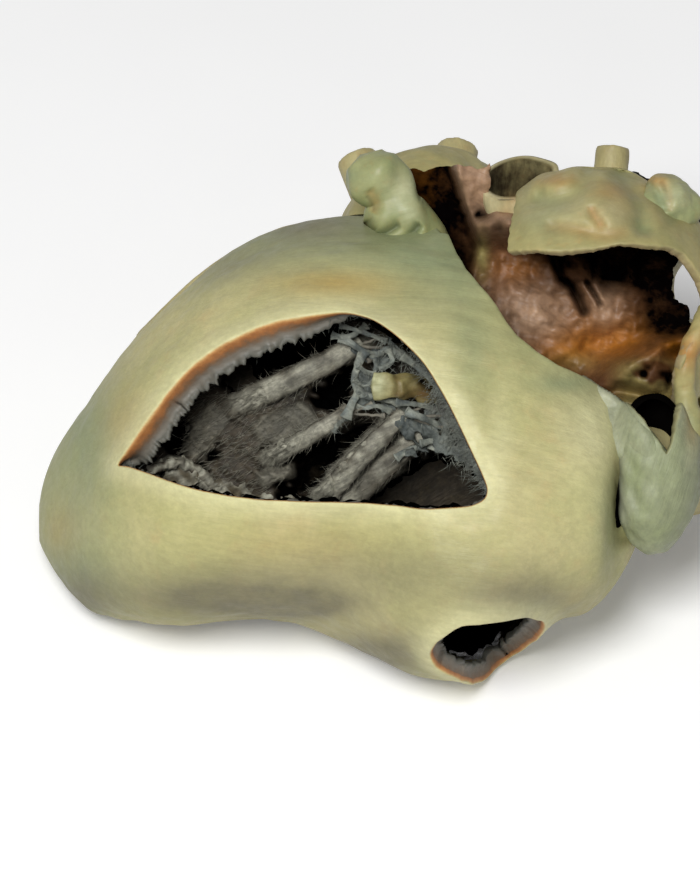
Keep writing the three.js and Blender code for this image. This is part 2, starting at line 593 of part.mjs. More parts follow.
// Veins into the atria, from inside the atrium's wall outwards: x, q, p of the two ends from the middle of the
// atrium, as shares of its half sizes
const VEINS = {
  cranial_vena_cava: { from: [0.71, 0.18, -0.19], to: [0.885, 0.18, -0.69], radius: 6.4 },
  caudal_vena_cava: { from: [-0.5, 0.64, -0.08], to: [-0.58, 1.07, -0.11], radius: 6 },
  azygos_vein: { from: [0.11, 0.82, -0.25], to: [0.14, 1.12, -0.31], radius: 2.6 },
};
const PULMONARY_VEINS = {
  pulmonary_vein_1: { from: [-0.56, 0.6, -0.13], to: [-0.72, 0.925, -0.33], radius: 3.2 },
  pulmonary_vein_2: { from: [0.16, 0.75, -0.27], to: [0.22, 1, -0.47], radius: 3.2 },
  pulmonary_vein_3: { from: [0.09, 0.3, -0.67], to: [0.22, 0.5, -1.23], radius: 3.2 },
  pulmonary_vein_4: { from: [0.59, 0.2, -0.4], to: [1.03, 0.45, -0.73], radius: 3.2 },
};
const withinOval = (form, [x, q, p]) =>
  at(form.x + x * form.halfX, form.q + q * form.halfQ, form.p + p * form.halfP);
const straight = (atrium, vein, radius, beyondEnds = 0) => {
  const a = withinOval(atrium, vein.from);
  const b = withinOval(atrium, vein.to);
  const d = b.clone().sub(a).normalize();
  return strand(
    [a.clone().addScaledVector(d, -beyondEnds), b.clone().addScaledVector(d, beyondEnds)],
    () => radius,
    16,
    1,
  );
};

// Atria: hollow ovals open towards the valve rings, kept clear of everything beside them
const blocks = ventricleLoft(outerRadius, OUTER_STATIONS, SIDES, CLEARANCE).subtract(
  beyondEdge(PLATE_TOP + CLEARANCE),
);
const rightHalf = beyond(P_AXIS, INTERATRIAL_P + INTERATRIAL_THICKNESS / 2 + CLEARANCE);
const leftHalf = beyond(P_AXIS.clone().negate(), -(INTERATRIAL_P - INTERATRIAL_THICKNESS / 2 - CLEARANCE));
const septalLayer = beyond(P_AXIS, INTERATRIAL_P - INTERATRIAL_THICKNESS / 2).subtract(
  beyond(P_AXIS, INTERATRIAL_P + INTERATRIAL_THICKNESS / 2),
);

// The opening cut in the right atrium, and the small one at the foot of the auricle
const atriumWindow = new THREE.Shape(ATRIUM_WINDOW.map(([x, q]) => new THREE.Vector2(q, x)));
const auricleMouth = new THREE.Shape().absellipse(21.5, 40.5, 4.4, 3, 0, 2 * Math.PI);
// A cutter that takes the right half of the atrium's height, and whatever stands over it
const cutFromRight = (shape) => {
  const depth = 1.5 * RIGHT_ATRIUM.halfP;
  const g = new THREE.ExtrudeGeometry(shape, { depth, bevelEnabled: false, curveSegments: 5 });
  g.translate(0, 0, RIGHT_ATRIUM.p);
  g.applyMatrix4(new THREE.Matrix4().makeBasis(Q_AXIS, new THREE.Vector3(1, 0, 0), P_AXIS));
  return solidOf(g);
};

const rightAtriumWhole = ovoid(RIGHT_ATRIUM).subtract(blocks).intersect(rightHalf).subtract(aortaRoom);
let rightAtrium = rightAtriumWhole
  .subtract(ovoid(RIGHT_ATRIUM, -ATRIUM_WALL))
  .subtract(cutFromRight(atriumWindow))
  .subtract(cutFromRight(auricleMouth))
  .subtract(ovoid(RIGHT_AURICLE, -AURICLE_WALL))
  .subtract(trunkRoom);
const auricleWhole = ovoid(RIGHT_AURICLE).subtract(blocks).subtract(trunkRoom);
const auricleShell = auricleWhole
  .subtract(ovoid(RIGHT_ATRIUM, CLEARANCE))
  .subtract(ovoid(RIGHT_AURICLE, -AURICLE_WALL))
  .subtract(cutFromRight(auricleMouth));
let leftAtrium = ovoid(LEFT_ATRIUM)
  .subtract(blocks)
  .intersect(leftHalf)
  .subtract(aortaRoom)
  .subtract(ovoid(LEFT_ATRIUM, -ATRIUM_WALL))
  .subtract(ovoid(LEFT_AURICLE, -AURICLE_WALL));
const leftAuricle = ovoid(LEFT_AURICLE, 0, 14, 8)
  .subtract(blocks)
  .subtract(aortaRoom)
  .subtract(ovoid(LEFT_ATRIUM, CLEARANCE))
  .subtract(ovoid(LEFT_AURICLE, -AURICLE_WALL, 14, 8));
let atrialSeptum = ovoid(RIGHT_ATRIUM, -0.4)
  .intersect(septalLayer)
  .subtract(blocks)
  .subtract(aortaRoom)
  .subtract(trunkRoom);

const veinTube = (atrium, vein) =>
  straight(atrium, vein, vein.radius).subtract(straight(atrium, vein, vein.radius - VEIN_WALL, 1));
for (const [name, vein] of Object.entries(VEINS)) {
  nodes[name] = veinTube(RIGHT_ATRIUM, vein);
  const room = straight(RIGHT_ATRIUM, vein, vein.radius + CLEARANCE, 0.5);
  rightAtrium = rightAtrium.subtract(room);
  atrialSeptum = atrialSeptum.subtract(room);
}
for (const [name, vein] of Object.entries(PULMONARY_VEINS)) {
  nodes[name] = veinTube(LEFT_ATRIUM, vein);
  leftAtrium = leftAtrium.subtract(straight(LEFT_ATRIUM, vein, vein.radius + CLEARANCE, 0.5));
}
for (const [name, path] of Object.entries(branchPaths)) {
  const branch = strand(path, () => BRANCH_RADIUS, 14, 5);
  const bore = strand(endMoved(path, 1), () => BRANCH_RADIUS - VEIN_WALL, 14, 5);
  nodes[name] = largest(branch.subtract(bore).subtract(trunkRoom).subtract(aortaRoom));
  trunkWall = trunkWall.subtract(bore);
}
nodes.right_atrium = largest(rightAtrium);
nodes.right_auricle = largest(auricleShell);
nodes.interatrial_septum = largest(atrialSeptum);
nodes.left_atrium = largest(leftAtrium);
nodes.left_auricle = largest(leftAuricle);
nodes.aorta = largest(aorta.subtract(aortaBore));
nodes.pulmonary_trunk = largest(trunkWall);

// The remains of the duct that joined the pulmonary trunk to the aorta
nodes.ligamentum_arteriosum = largest(
  strand([at(45.5, 19, 6), at(46, 25, 1), at(44.5, 32, -2)], () => 0.9, 8, 6)
    .subtract(trunkRoom)
    .subtract(aortaRoom),
);

// A lobule of fat on the roof of the right atrium
const lobule = new THREE.SphereGeometry(FAT_LOBULE_RADIUS, 12, 8);
lobule.translate(...withinOval(RIGHT_ATRIUM, [0.55, 0.7, 0.17]).toArray());
nodes.fat_lobule = largest(solidOf(lobule).subtract(ovoid(RIGHT_ATRIUM, CLEARANCE)));

// A fold of the atrial wall that lies against the ventricles beside the right atrium
const foldAngle = THREE.MathUtils.degToRad(ATRIAL_FOLD.direction);
const foldMiddle = formPoint(ATRIAL_FOLD.x, foldAngle);
foldMiddle.addScaledVector(formNormal(ATRIAL_FOLD.x, foldAngle), ATRIAL_FOLD.rise);
const fold = { ...ATRIAL_FOLD, q: foldMiddle.dot(Q_AXIS), p: foldMiddle.dot(P_AXIS) };
nodes.atrial_fold = largest(ovoid(fold).subtract(blocks).subtract(ovoid(LEFT_ATRIUM, CLEARANCE)));

// Vessels half sunk in the groove on the caudal side, each as x, q, p of points it runs under
const GROOVE_VESSELS = {
  middle_cardiac_vein: { path: [[-36, 31, 4], [-26, 42, 4], [-16, 48, 4], [-7, 50, 3]], radius: 1.3 },
  subsinuosal_artery: { path: [[-34, 34, 0], [-25, 41, 0], [-16, 46, 0], [-8, 48, -1]], radius: 1 },
};
function onSurface(x, q, p) {
  const { y, z } = leftLobe(x);
  const through = at(x, q, p);
  const angle = Math.atan2(through.z - z, through.y - y);
  const r = outerRadius(x, angle);
  return new THREE.Vector3(x, y + r * Math.cos(angle), z + r * Math.sin(angle));
}
const sunk = ventricleLoft(outerRadius, OUTER_STATIONS, SIDES, CLEARANCE);
for (const [name, { path, radius }] of Object.entries(GROOVE_VESSELS)) {
  const vessel = strand(path.map((c) => onSurface(...c)), () => radius, 8, 9);
  nodes[name] = largest(vessel.subtract(sunk).subtract(ovoid(LEFT_ATRIUM, CLEARANCE)));
}

// A low ridge between the mouths of the two great veins
const FOSSA_P = INTERATRIAL_P + INTERATRIAL_THICKNESS / 2;
nodes.intervenous_ridge = largest(
  strand([at(32, 47, FOSSA_P), at(29, 41.5, FOSSA_P + 0.6), at(27.5, 36, FOSSA_P)], () => 1.6, 8, 6).intersect(
    beyond(P_AXIS, FOSSA_P + CLEARANCE),
  ),
);

const COLOURS = {
  ventricle: 0xc2b986,
  chamber: 0x6e6656,
  fibrous: 0xcdc6a0,
  strandy: 0x9a947c,
  atrium: 0xaa7a45,
  vessel: 0xc9bd94,
};
const LOOKS = [
  [/ventricle_wall/, COLOURS.ventricle],
  [/septum|papillary|band/, COLOURS.chamber],
  [/plate|cusp/, COLOURS.fibrous],
  [/chords|ridge/, COLOURS.strandy],
  [/atrium|auricle|fold/, COLOURS.atrium],
  [/./, COLOURS.vessel],
];

const heart = new THREE.Group();
for (const [name, solid] of Object.entries(nodes)) {
  const m = solid.simplify(SMALLEST_STEP).getMesh();
  const n = m.numProp;
  const position = new Float32Array(m.numVert * 3);
  for (let i = 0; i < m.numVert; i++) position.set(m.vertProperties.subarray(i * n, i * n + 3), i * 3);
  const g = new THREE.BufferGeometry();
  g.setAttribute("position", new THREE.BufferAttribute(position, 3));
  g.setIndex(new THREE.BufferAttribute(Uint32Array.from(m.triVerts), 1));
  g.computeVertexNormals();
  const color = LOOKS.find(([pattern]) => pattern.test(name))[1];
  const mesh = new THREE.Mesh(g, new THREE.MeshStandardMaterial({ color, roughness: 0.6, metalness: 0 }));
  mesh.name = name;
  heart.add(mesh);
}

// The frame's origin is the middle of the box round the heart, on the surface it lies on
const box = new THREE.Box3().setFromObject(heart);
heart.position.set(-(box.min.x + box.max.x) / 2, -(box.min.y + box.max.y) / 2, -box.min.z);

export default heart;
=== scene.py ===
"""A preserved dog heart with windows cut in its walls: the visible pieces and the stage.

Laid out as an add-on, with one operator for each piece or group of like pieces. The functions work in
millimetres in the heart's own axes: x runs from the apex to the base, q towards the caudal side and p towards
the right side, which faces up and forwards. world() turns such points into the row frame, in metres.
"""

import math

import bpy
import numpy as np
from mathutils import Matrix, Vector

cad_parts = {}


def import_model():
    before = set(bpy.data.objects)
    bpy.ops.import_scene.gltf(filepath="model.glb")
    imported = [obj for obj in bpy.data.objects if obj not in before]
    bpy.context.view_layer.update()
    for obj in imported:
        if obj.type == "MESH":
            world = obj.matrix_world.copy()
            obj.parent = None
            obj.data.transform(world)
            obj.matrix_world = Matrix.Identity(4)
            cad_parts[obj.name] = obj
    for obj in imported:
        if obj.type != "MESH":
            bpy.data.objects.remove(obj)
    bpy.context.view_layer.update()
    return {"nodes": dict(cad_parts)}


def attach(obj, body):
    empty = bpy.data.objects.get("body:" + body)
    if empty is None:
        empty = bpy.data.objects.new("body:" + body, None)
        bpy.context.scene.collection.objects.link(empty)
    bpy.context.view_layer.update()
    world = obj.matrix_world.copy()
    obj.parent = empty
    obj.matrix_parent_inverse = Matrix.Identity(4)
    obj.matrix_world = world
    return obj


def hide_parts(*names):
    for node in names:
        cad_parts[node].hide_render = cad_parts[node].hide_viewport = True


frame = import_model()

bl_info = {
    "name": "Preserved dog heart",
    "version": (1, 0, 0),
    "blender": (4, 5, 0),
    "location": "View3D > Sidebar > Heart",
    "description": "Builds the visible pieces of a preserved dog heart over its packed solids",
    "category": "Mesh",
}

# The heart's own axes in the row frame
MM = 0.001
SHIFT = np.array([-1.65403, -4.53116, -0.8])
REST_Z = 0.8  # the table, in the heart's own axes
TILT = math.radians(50)
Q_AXIS = np.array([0, math.cos(TILT), math.sin(TILT)])
P_AXIS = np.array([0, -math.sin(TILT), math.cos(TILT)])
AXES = np.stack([[1.0, 0, 0], Q_AXIS, P_AXIS])
PIXELS_PER_MM = 6.8
PIXEL_OF_ORIGIN = np.array([384, 566])


def at(x, q, p):
    """Points from x, q and p."""
    return np.stack(np.broadcast_arrays(x, q, p), -1).astype(float) @ AXES


def split(points):
    """x, q and p of points."""
    return np.moveaxis(points @ AXES.T, -1, 0)


def seen(*pixels):
    """(x, q) of places given in the photograph, as rows."""
    return (np.array(pixels, float) - PIXEL_OF_ORIGIN) / [PIXELS_PER_MM, -PIXELS_PER_MM]


def step(x, low, high):
    """0 below low, 1 above high, smooth between."""
    t = np.clip((x - low) / (high - low), 0, 1)
    return t * t * (3 - 2 * t)


def bell(x, middle, width):
    """exp(-((x - middle) / width)^2)"""
    return np.exp(-(((x - middle) / width) ** 2))


def ripple(points, size, seed, waves=12):
    """Smooth noise, about -1 to 1: a sum of sines along seeded directions, whose wavelength is near size."""
    rng = np.random.default_rng(seed)
    total = 0
    for _ in range(waves):
        direction = rng.normal(size=3)
        direction *= 2 * math.pi * rng.uniform(0.6, 1.6) / size / np.linalg.norm(direction)
        total = total + np.sin(points @ direction + rng.uniform(0, 2 * math.pi))
    return total / math.sqrt(waves)


def spline(points, count, closed=False):
    """Catmull-Rom curve through points, sampled count times."""
    pts = np.asarray(points, float)
    n = len(pts)
    t = np.linspace(0, n if closed else n - 1, count, endpoint=not closed)
    i = np.minimum(t.astype(int), n - 1 if closed else n - 2)
    f = (t - i)[:, None]
    pick = (lambda k: pts[k % n]) if closed else (lambda k: pts[np.clip(k, 0, n - 1)])
    a, b, c, d = pick(i - 1), pick(i), pick(i + 1), pick(i + 2)
    return b + 0.5 * f * (c - a + f * (2 * a - 5 * b + 4 * c - d + f * (3 * (b - c) + d - a)))


def outside(x, y, outline):
    """Distance from (x, y) to a closed outline, negative inside it."""
    a = np.asarray(outline, float)
    b = np.roll(a, -1, 0)
    d = b - a
    u, v = x.reshape(-1, 1), y.reshape(-1, 1)
    t = np.clip(((u - a[:, 0]) * d[:, 0] + (v - a[:, 1]) * d[:, 1]) / (d**2).sum(1), 0, 1)
    far = np.hypot(u - a[:, 0] - t * d[:, 0], v - a[:, 1] - t * d[:, 1]).min(1)
    rise = np.where(d[:, 1] == 0, 1e-9, d[:, 1])
    crosses = ((a[:, 1] > v) != (b[:, 1] > v)) & (u < d[:, 0] * (v - a[:, 1]) / rise + a[:, 0])
    return np.where(crosses.sum(1) % 2 == 1, -far, far).reshape(x.shape)


def beside(x, y, path):
    """Distance from (x, y) to an open path, and how far along it the nearest place is, 0 to 1."""
    a = np.asarray(path, float)
    d = np.diff(a, axis=0)
    a = a[:-1]
    u, v = np.asarray(x).reshape(-1, 1), np.asarray(y).reshape(-1, 1)
    t = np.clip(((u - a[:, 0]) * d[:, 0] + (v - a[:, 1]) * d[:, 1]) / (d**2).sum(1), 0, 1)
    far = np.hypot(u - a[:, 0] - t * d[:, 0], v - a[:, 1] - t * d[:, 1])
    k = far.argmin(1)
    rows = np.arange(len(k))
    along = (k + t[rows, k]) / len(a)
    return far[rows, k].reshape(np.shape(x)), along.reshape(np.shape(x))


class Patch:
    """A mesh as points, faces and named tones: one number for each point, which the materials read."""

    def __init__(self, points, faces, tones=None):
        self.points = np.asarray(points, float)
        self.faces = list(faces)
        self.tones = {k: np.asarray(v, float) for k, v in (tones or {}).items()}

    def add(self, other):
        """Joins another patch on; a tone that one of them lacks is 0 there."""
        n, m = len(self.points), len(other.points)
        for k in set(self.tones) | set(other.tones):
            mine = self.tones.get(k, np.zeros(n))
            self.tones[k] = np.concatenate([mine, other.tones.get(k, np.zeros(m))])
        self.points = np.concatenate([self.points, other.points])
        self.faces += [[i + n for i in f] for f in other.faces]
        return self

    def close(self, ring, middle, backwards=False):
        """A fan of triangles from a ring of point ids to a new point in its middle, whose tones are 0."""
        n = len(self.points)
        self.points = np.concatenate([self.points, middle])
        self.tones = {k: np.append(tone, 0) for k, tone in self.tones.items()}
        a, b = (np.roll(ring, -1), ring) if backwards else (ring, np.roll(ring, -1))
        self.faces += np.stack([np.full(len(ring), n), a, b], 1).tolist()
        return self

    def add_rim(self, loop, closed, normals, rows, tones):
        """Turns a rim in from a loop of ids; tones has values for each row, and a tone it lacks is 0."""
        first = len(self.points)
        self.points = np.concatenate([self.points, *rim_rows(self.points[loop], normals, closed, rows)])
        for k, mine in self.tones.items():
            values = [np.broadcast_to(v, len(loop)) for v in tones.get(k, [0] * len(rows))]
            self.tones[k] = np.concatenate([mine, *values])
        self.faces += strip_faces(loop, first, len(rows), closed)


def grid_faces(rows, columns, closed=False):
    """Quads of a grid of points, row by row; closed joins the last column to the first."""
    i, j = np.meshgrid(np.arange(rows - 1), np.arange(columns if closed else columns - 1), indexing="ij")
    k = (j + 1) % columns
    return np.stack([i * columns + j, i * columns + k, (i + 1) * columns + k, (i + 1) * columns + j], -1)


def cut_grid(us, vs, keep, period=None):
    """A grid over u and v, cut exactly along keep(u, v) = 0 and kept where it is positive.

    Returns (u, v) of the points, the faces, the grid's own ids, and the loops along the cuts."""
    nu, nv = len(us), len(vs)
    u, v = np.meshgrid(us, vs, indexing="ij")
    k = keep(u, v)
    corners = grid_faces(nu, nv, period is not None)
    kept = (k > 0).ravel()[corners]
    faces = corners[kept.all(-1)].tolist()
    ku, kv, kk = u.ravel(), v.ravel(), k.ravel()
    extra, made, follow = [], {}, {}
    for cell in corners[kept.any(-1) & ~kept.all(-1)]:
        face, turns = [], []
        for a, b in zip(cell, np.roll(cell, -1)):
            if kk[a] > 0:
                face.append(int(a))
            if (kk[a] > 0) != (kk[b] > 0):
                key = (min(a, b), max(a, b))
                if key not in made:
                    t = np.clip(kk[a] / (kk[a] - kk[b]), 0.08, 0.92)
                    dv = kv[b] - kv[a]
                    if period:
                        dv = (dv + period / 2) % period - period / 2
                    made[key] = nu * nv + len(extra)
                    extra.append((ku[a] + t * (ku[b] - ku[a]), kv[a] + t * dv))
                face.append(made[key])
                turns.append((kk[a] > 0, made[key]))
        for n, (leaving, here) in enumerate(turns):
            if leaving:
                follow[here] = turns[(n + 1) % len(turns)][1]
        faces.append(face)
    uv = np.stack([ku, kv], -1)
    if extra:
        uv = np.concatenate([uv, np.array(extra)])
    loops = []
    while follow:
        starts = set(follow) - set(follow.values())
        here = min(starts) if starts else min(follow)
        loop = [here]
        while here in follow:
            here = follow.pop(here)
            loop.append(here)
        loops.append((loop[:-1], True) if loop[0] == loop[-1] else (loop, False))
    return uv, faces, np.arange(nu * nv).reshape(nu, nv), loops


def surface_normals(point, uv, size=1e-3):
    """Unit normals of point(u, v), along d/du x d/dv."""
    u, v = uv[:, 0], uv[:, 1]
    n = np.cross(point(u + size, v) - point(u - size, v), point(u, v + size) - point(u, v - size))
    return n / np.maximum(np.linalg.norm(n, axis=-1, keepdims=True), 1e-12)


def smooth_along(values, closed):
    """Evens out rows of values along a loop."""
    for _ in range(6):
        before, after = np.roll(values, 1, 0), np.roll(values, -1, 0)
        if not closed:
            before[0], after[-1] = values[0], values[-1]
        values = (before + 2 * values + after) / 4
    return values


def rim_rows(edge, normals, closed, rows):
    """Points of a rim that turns in from an edge: edge + into * a + down * b, for each (a, b) of rows.

    edge is the loop's points in order, with the kept surface on its left as seen from outside, and normals
    point outwards there. into points across the opening and down through the wall."""
    ahead, behind = np.roll(edge, -1, 0), np.roll(edge, 1, 0)
    if not closed:
        ahead[-1], behind[0] = edge[-1], edge[0]
    tangent = smooth_along(ahead - behind, closed)
    tangent /= np.maximum(np.linalg.norm(tangent, axis=1, keepdims=True), 1e-9)
    normals = smooth_along(normals, closed)
    into = np.cross(tangent, normals)
    into /= np.maximum(np.linalg.norm(into, axis=1, keepdims=True), 1e-9)
    down = -normals / np.linalg.norm(normals, axis=1, keepdims=True)
    return [edge + into * np.reshape(a, (-1, 1)) + down * np.reshape(b, (-1, 1)) for a, b in rows]


def strip_faces(loop, first, rows, closed):
    """Quads that join a loop of ids to rows of new points as long as the loop, from id first on."""
    n = len(loop)
    faces, ring = [], list(loop)
    for r in range(rows):
        new = [first + r * n + i for i in range(n)]
        for i in range(n if closed else n - 1):
            j = (i + 1) % n
            faces.append([ring[j], ring[i], new[i], new[j]])
        ring = new
    return faces


def tube(path, radius, sides=16, rows=40, flatten=1.0, rough=0.0, size=1.5, seed=1):
    """A strand along path: ring t is an ellipse of radius(t), times flatten along p, and each end a point.

    rough moves the surface in and out by smooth noise of that size."""
    centre = spline(path, rows)
    tangent = np.gradient(centre, axis=0)
    tangent /= np.linalg.norm(tangent, axis=1, keepdims=True)
    second = np.cross(tangent, P_AXIS)
    second /= np.maximum(np.linalg.norm(second, axis=1, keepdims=True), 1e-9)
    first = np.cross(second, tangent)
    t = np.linspace(0, 1, rows)
    r = np.broadcast_to(radius(t), t.shape)[:, None, None]
    a = np.linspace(0, 2 * math.pi, sides, endpoint=False)[None, :, None]
    out = np.cos(a) * first[:, None] * flatten + np.sin(a) * second[:, None]
    points = centre[:, None] + out * r
    if rough:
        points = points + out * np.minimum(rough, r * 0.6) * ripple(points, size, seed)[..., None]
    patch = Patch(points.reshape(-1, 3), grid_faces(rows, sides, True).reshape(-1, 4).tolist())
    patch.close(np.arange(sides), centre[:1] - tangent[:1] * 0.3 * r[0], True)
    return patch.close((rows - 1) * sides + np.arange(sides), centre[-1:] + tangent[-1:] * 0.3 * r[-1])


def in_photo(x, q):
    """Photo x and y of a place."""
    return PIXEL_OF_ORIGIN[0] + PIXELS_PER_MM * x, PIXEL_OF_ORIGIN[1] - PIXELS_PER_MM * q


def paint(patch, *dabs, near=-99.0):
    """Adds soft ovals where p is above near: (tone, photo x, y, half width, half height, strength)."""
    place_x, place_q, p = split(patch.points)
    px, py = in_photo(place_x, place_q)
    for tone, x, y, wide, high, strength in dabs:
        amount = strength * bell(px, x, wide) * bell(py, y, high) * (p > near)
        patch.tones[tone] = patch.tones.get(tone, np.zeros(len(px))) + amount
    return patch


def crease(patch, *lines, near=-99.0):
    """Presses grooves into the side towards the viewer: (tone, strength, width mm, depth mm, photo path)."""
    for tone, strength, width, depth, path in lines:
        x, q, p = split(patch.points)
        far, along = beside(x, q, spline(seen(*path), 8 * len(path)))
        ends = step(along, -0.01, 0.15) * (1 - step(along, 0.85, 1.01))
        amount = bell(far, 0, width) * (p > near) * ends
        patch.points = patch.points - amount[:, None] * depth * P_AXIS
        patch.tones[tone] = patch.tones.get(tone, np.zeros(len(x))) + strength * amount
    return patch


def world(points):
    """Heart points in millimetres to the row frame in metres."""
    return (points + SHIFT) * MM


def linear(r, g, b):
    """A colour given as it looks on a screen, 0 to 255, as scene-linear RGBA."""
    c = np.array([r, g, b]) / 255
    return (*np.where(c <= 0.04045, c / 12.92, ((c + 0.055) / 1.055) ** 2.4).tolist(), 1.0)


# Sizes and colours that a user would change
def length(name, description, mm):
    """A length of the panel, with its default in millimetres."""
    return bpy.props.FloatProperty(
        name=name, description=description, default=mm * MM, subtype="DISTANCE", min=0, precision=5)


def colour(name, description, *screen):
    """A colour of the panel, with its default as it looks on a screen, 0 to 255."""
    return bpy.props.FloatVectorProperty(
        name=name, description=description, default=linear(*screen), subtype="COLOR", size=4, min=0, max=1)


class HeartSizes(bpy.types.PropertyGroup):
    """Lengths of the added surfaces."""

    lip_height: length("Lip height", "Height of the soft lip round the windows", 0.45)
    unevenness: length("Unevenness", "Height of the broad lumps of the ventricles' skin", 0.28)
    cut_depth: length("Cut depth", "Depth of the cut muscle seen at the large window", 3.3)
    fibre_length: length("Fibre length", "Length of the longest torn fibres along the large window", 0.8)
    fibre_radius: length("Fibre radius", "Radius of the torn fibres at their roots", 0.07)
    membrane: length("Membrane", "Thickness of the torn valve membrane", 0.35)
    atrial_wall: length("Atrial wall", "Thickness of the right atrium's torn wall", 1.5)
    auricle_wall: length("Auricle wall", "Thickness of the wall at the auricle's mouth", 1.6)
    atrial_floor: length("Atrial floor", "Thickness of the right atrium's floor", 0.9)
    base: length("Fibrous base", "Thickness of the sheet between ventricles and atria", 2.5)
    vein_radius: length("Vein radius", "Outer radius of the caudal vein's stub", 6)
    vein_wall: length("Vein wall", "Thickness of the caudal vein's wall", 1.1)
    vein_slant: bpy.props.FloatProperty(
        name="Vein slant", description="How far the caudal vein's cut end leans back",
        default=math.radians(24.7), subtype="ANGLE")


class HeartColours(bpy.types.PropertyGroup):
    """The main colours of the tissues."""

    skin: colour("Skin", "The ventricles' skin", 188, 180, 130)
    # Partly painted shade: this greenish colour is darker than the skin, and it tints the skin towards the
    # caudal edge and the apex, where the light falls off.
    skin_green: colour("Skin, greenish", "The skin near the atria and the apex", 136, 144, 106)
    # Painted shade: this colour darkens the skin low on the heart and along its top edge, where the light
    # falls away from it.
    skin_shade: colour("Skin, painted shade", "Gray-brown patches of the skin, low on the heart", 112, 107, 84)
    # Painted highlight: this colour lightens the soft lip round the windows and the skin beside them, where
    # the light catches them.
    skin_highlight: colour("Skin, painted highlight", "The skin where it rolls into a window", 212, 208, 160)
    cut_muscle: colour("Cut muscle", "The cut wall just under the skin", 188, 136, 82)
    torn_muscle: colour("Torn muscle", "The torn inner half of the cut wall", 118, 110, 98)
    # Partly painted highlight: besides the fibres' own colour, this colour lightens the crests of the muscles
    # inside, on their lit side.
    chamber: colour("Chamber", "The muscle inside the chambers", 66, 59, 48)
    crest: colour("Muscle crest", "The crests and fibres of the muscle inside", 154, 152, 136)
    net: colour("Torn membrane", "The torn net and the valve's thin membrane", 112, 118, 112)
    cusp: colour("Cusp", "The thick cusp and the fibrous base", 158, 152, 104)
    chord: colour("Chord", "The tendinous chords", 128, 124, 110)
    atrium_inside: colour("Atrium, inside", "The right atrium's inner surface", 112, 76, 48)
    atrium_orange: colour("Atrium, orange", "The orange stain on the right atrium's floor", 160, 98, 20)
    atrium: colour("Atrium", "The atria's outer walls", 168, 158, 106)
    auricle: colour("Auricle", "The auricles", 146, 150, 122)
    vessel: colour("Vessel", "The great vessels", 172, 162, 116)
    fat: colour("Fat", "The fat lobes beside the atria", 150, 152, 106)


class StageSettings(bpy.types.PropertyGroup):
    """Light, floor and camera."""

    key_power: bpy.props.FloatProperty(
        name="Key lamp", description="Power of the soft lamp in front", default=9.6, unit="POWER", min=0)
    key_size: bpy.props.FloatProperty(
        name="Key lamp size", description="Width of the soft lamp", default=0.42, subtype="DISTANCE",
        min=0.01)
    fill: bpy.props.FloatProperty(
        name="Fill light", description="Strength of the even light from all round", default=0.17, min=0)
    background: bpy.props.FloatProperty(
        name="Background", description="Brightness of the background that camera, gloss and glass see",
        default=1.0, subtype="FACTOR", min=0, max=1)
    floor_shade: bpy.props.FloatProperty(
        name="Floor", description="Brightness of the floor's own colour", default=0.94, subtype="FACTOR",
        min=0, max=1)
    floor_glow: bpy.props.FloatProperty(
        name="Floor seen directly", description="What the camera adds to the floor, to meet the background",
        default=0.16, min=0)
    focal_length: bpy.props.FloatProperty(
        name="Focal length", description="Focal length of the camera, in millimetres", default=704,
        unit="CAMERA", min=20)


def in_mm(name):
    """A length from the panel, in millimetres."""
    return getattr(bpy.context.scene.heart_sizes, name) / MM


# Tones that the materials read. The tone that darkens is painted shade: in hollows, clefts, creases, pits,
# gaps between parts, under ridges and inside the chambers, the auricle and the vein. The skin's bluish tone is
# painted shade along its top and bottom edges, and the pale tone is partly painted highlight on lips and
# crests.
TONES = ("cut", "green", "warm", "dark", "pale", "blue")


def piece(name, patch, tissue_name, replaces=(), body="root"):
    """Makes the object of a patch, with its tones as attributes, and seats it in the frame."""
    used = np.zeros(len(patch.points), bool)
    for f in patch.faces:
        used[f] = True
    index = np.cumsum(used) - 1
    patch.points[:, 2] = np.maximum(patch.points[:, 2], REST_Z)
    mesh = bpy.data.meshes.new(name)
    faces = [[int(index[i]) for i in f] for f in patch.faces]
    mesh.from_pydata(world(patch.points[used]).tolist(), [], faces)
    mesh.polygons.foreach_set("use_smooth", np.ones(len(mesh.polygons), bool))
    for tone in TONES:
        layer = mesh.attributes.new(tone, "FLOAT", "POINT")
        values = patch.tones.get(tone, np.zeros(len(patch.points)))[used]
        layer.data.foreach_set("value", np.clip(values, 0, 1).astype(np.float32))
    mesh.update()
    obj = bpy.data.objects.new(name, mesh)
    bpy.context.scene.collection.objects.link(obj)
    obj.data.materials.append(material(tissue_name))
    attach(obj, body)
    if replaces:
        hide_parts(*replaces)
    return obj


# The ventricles' outer form: two lobes, each an ellipse in the plane of one x
APEX_X, TAIL_X = -51.0, 38.5
BASE_NORMAL = np.array([0.84, 0.508, 0.191])
BASE_NORMAL = BASE_NORMAL / np.linalg.norm(BASE_NORMAL)
BASE_OFFSET = 26.0
LAST_X = 38.3  # the form is measured up to here


def nose(x, length, power):
    """The apex's rounding: (1 - (1 - t)^2)^power, with t from 0 at the apex to 1 after length."""
    return np.maximum(1 - (1 - np.clip((x - APEX_X) / length, 0, 1)) ** 2, 1e-9) ** power


def tail(x, start):
    """The base's rounding: sqrt(1 - t^2), with t from 0 at start to 1 at the tail's end."""
    return np.sqrt(np.maximum(1 - np.clip((x - start) / (TAIL_X - start), 0, 1) ** 2, 1e-9))


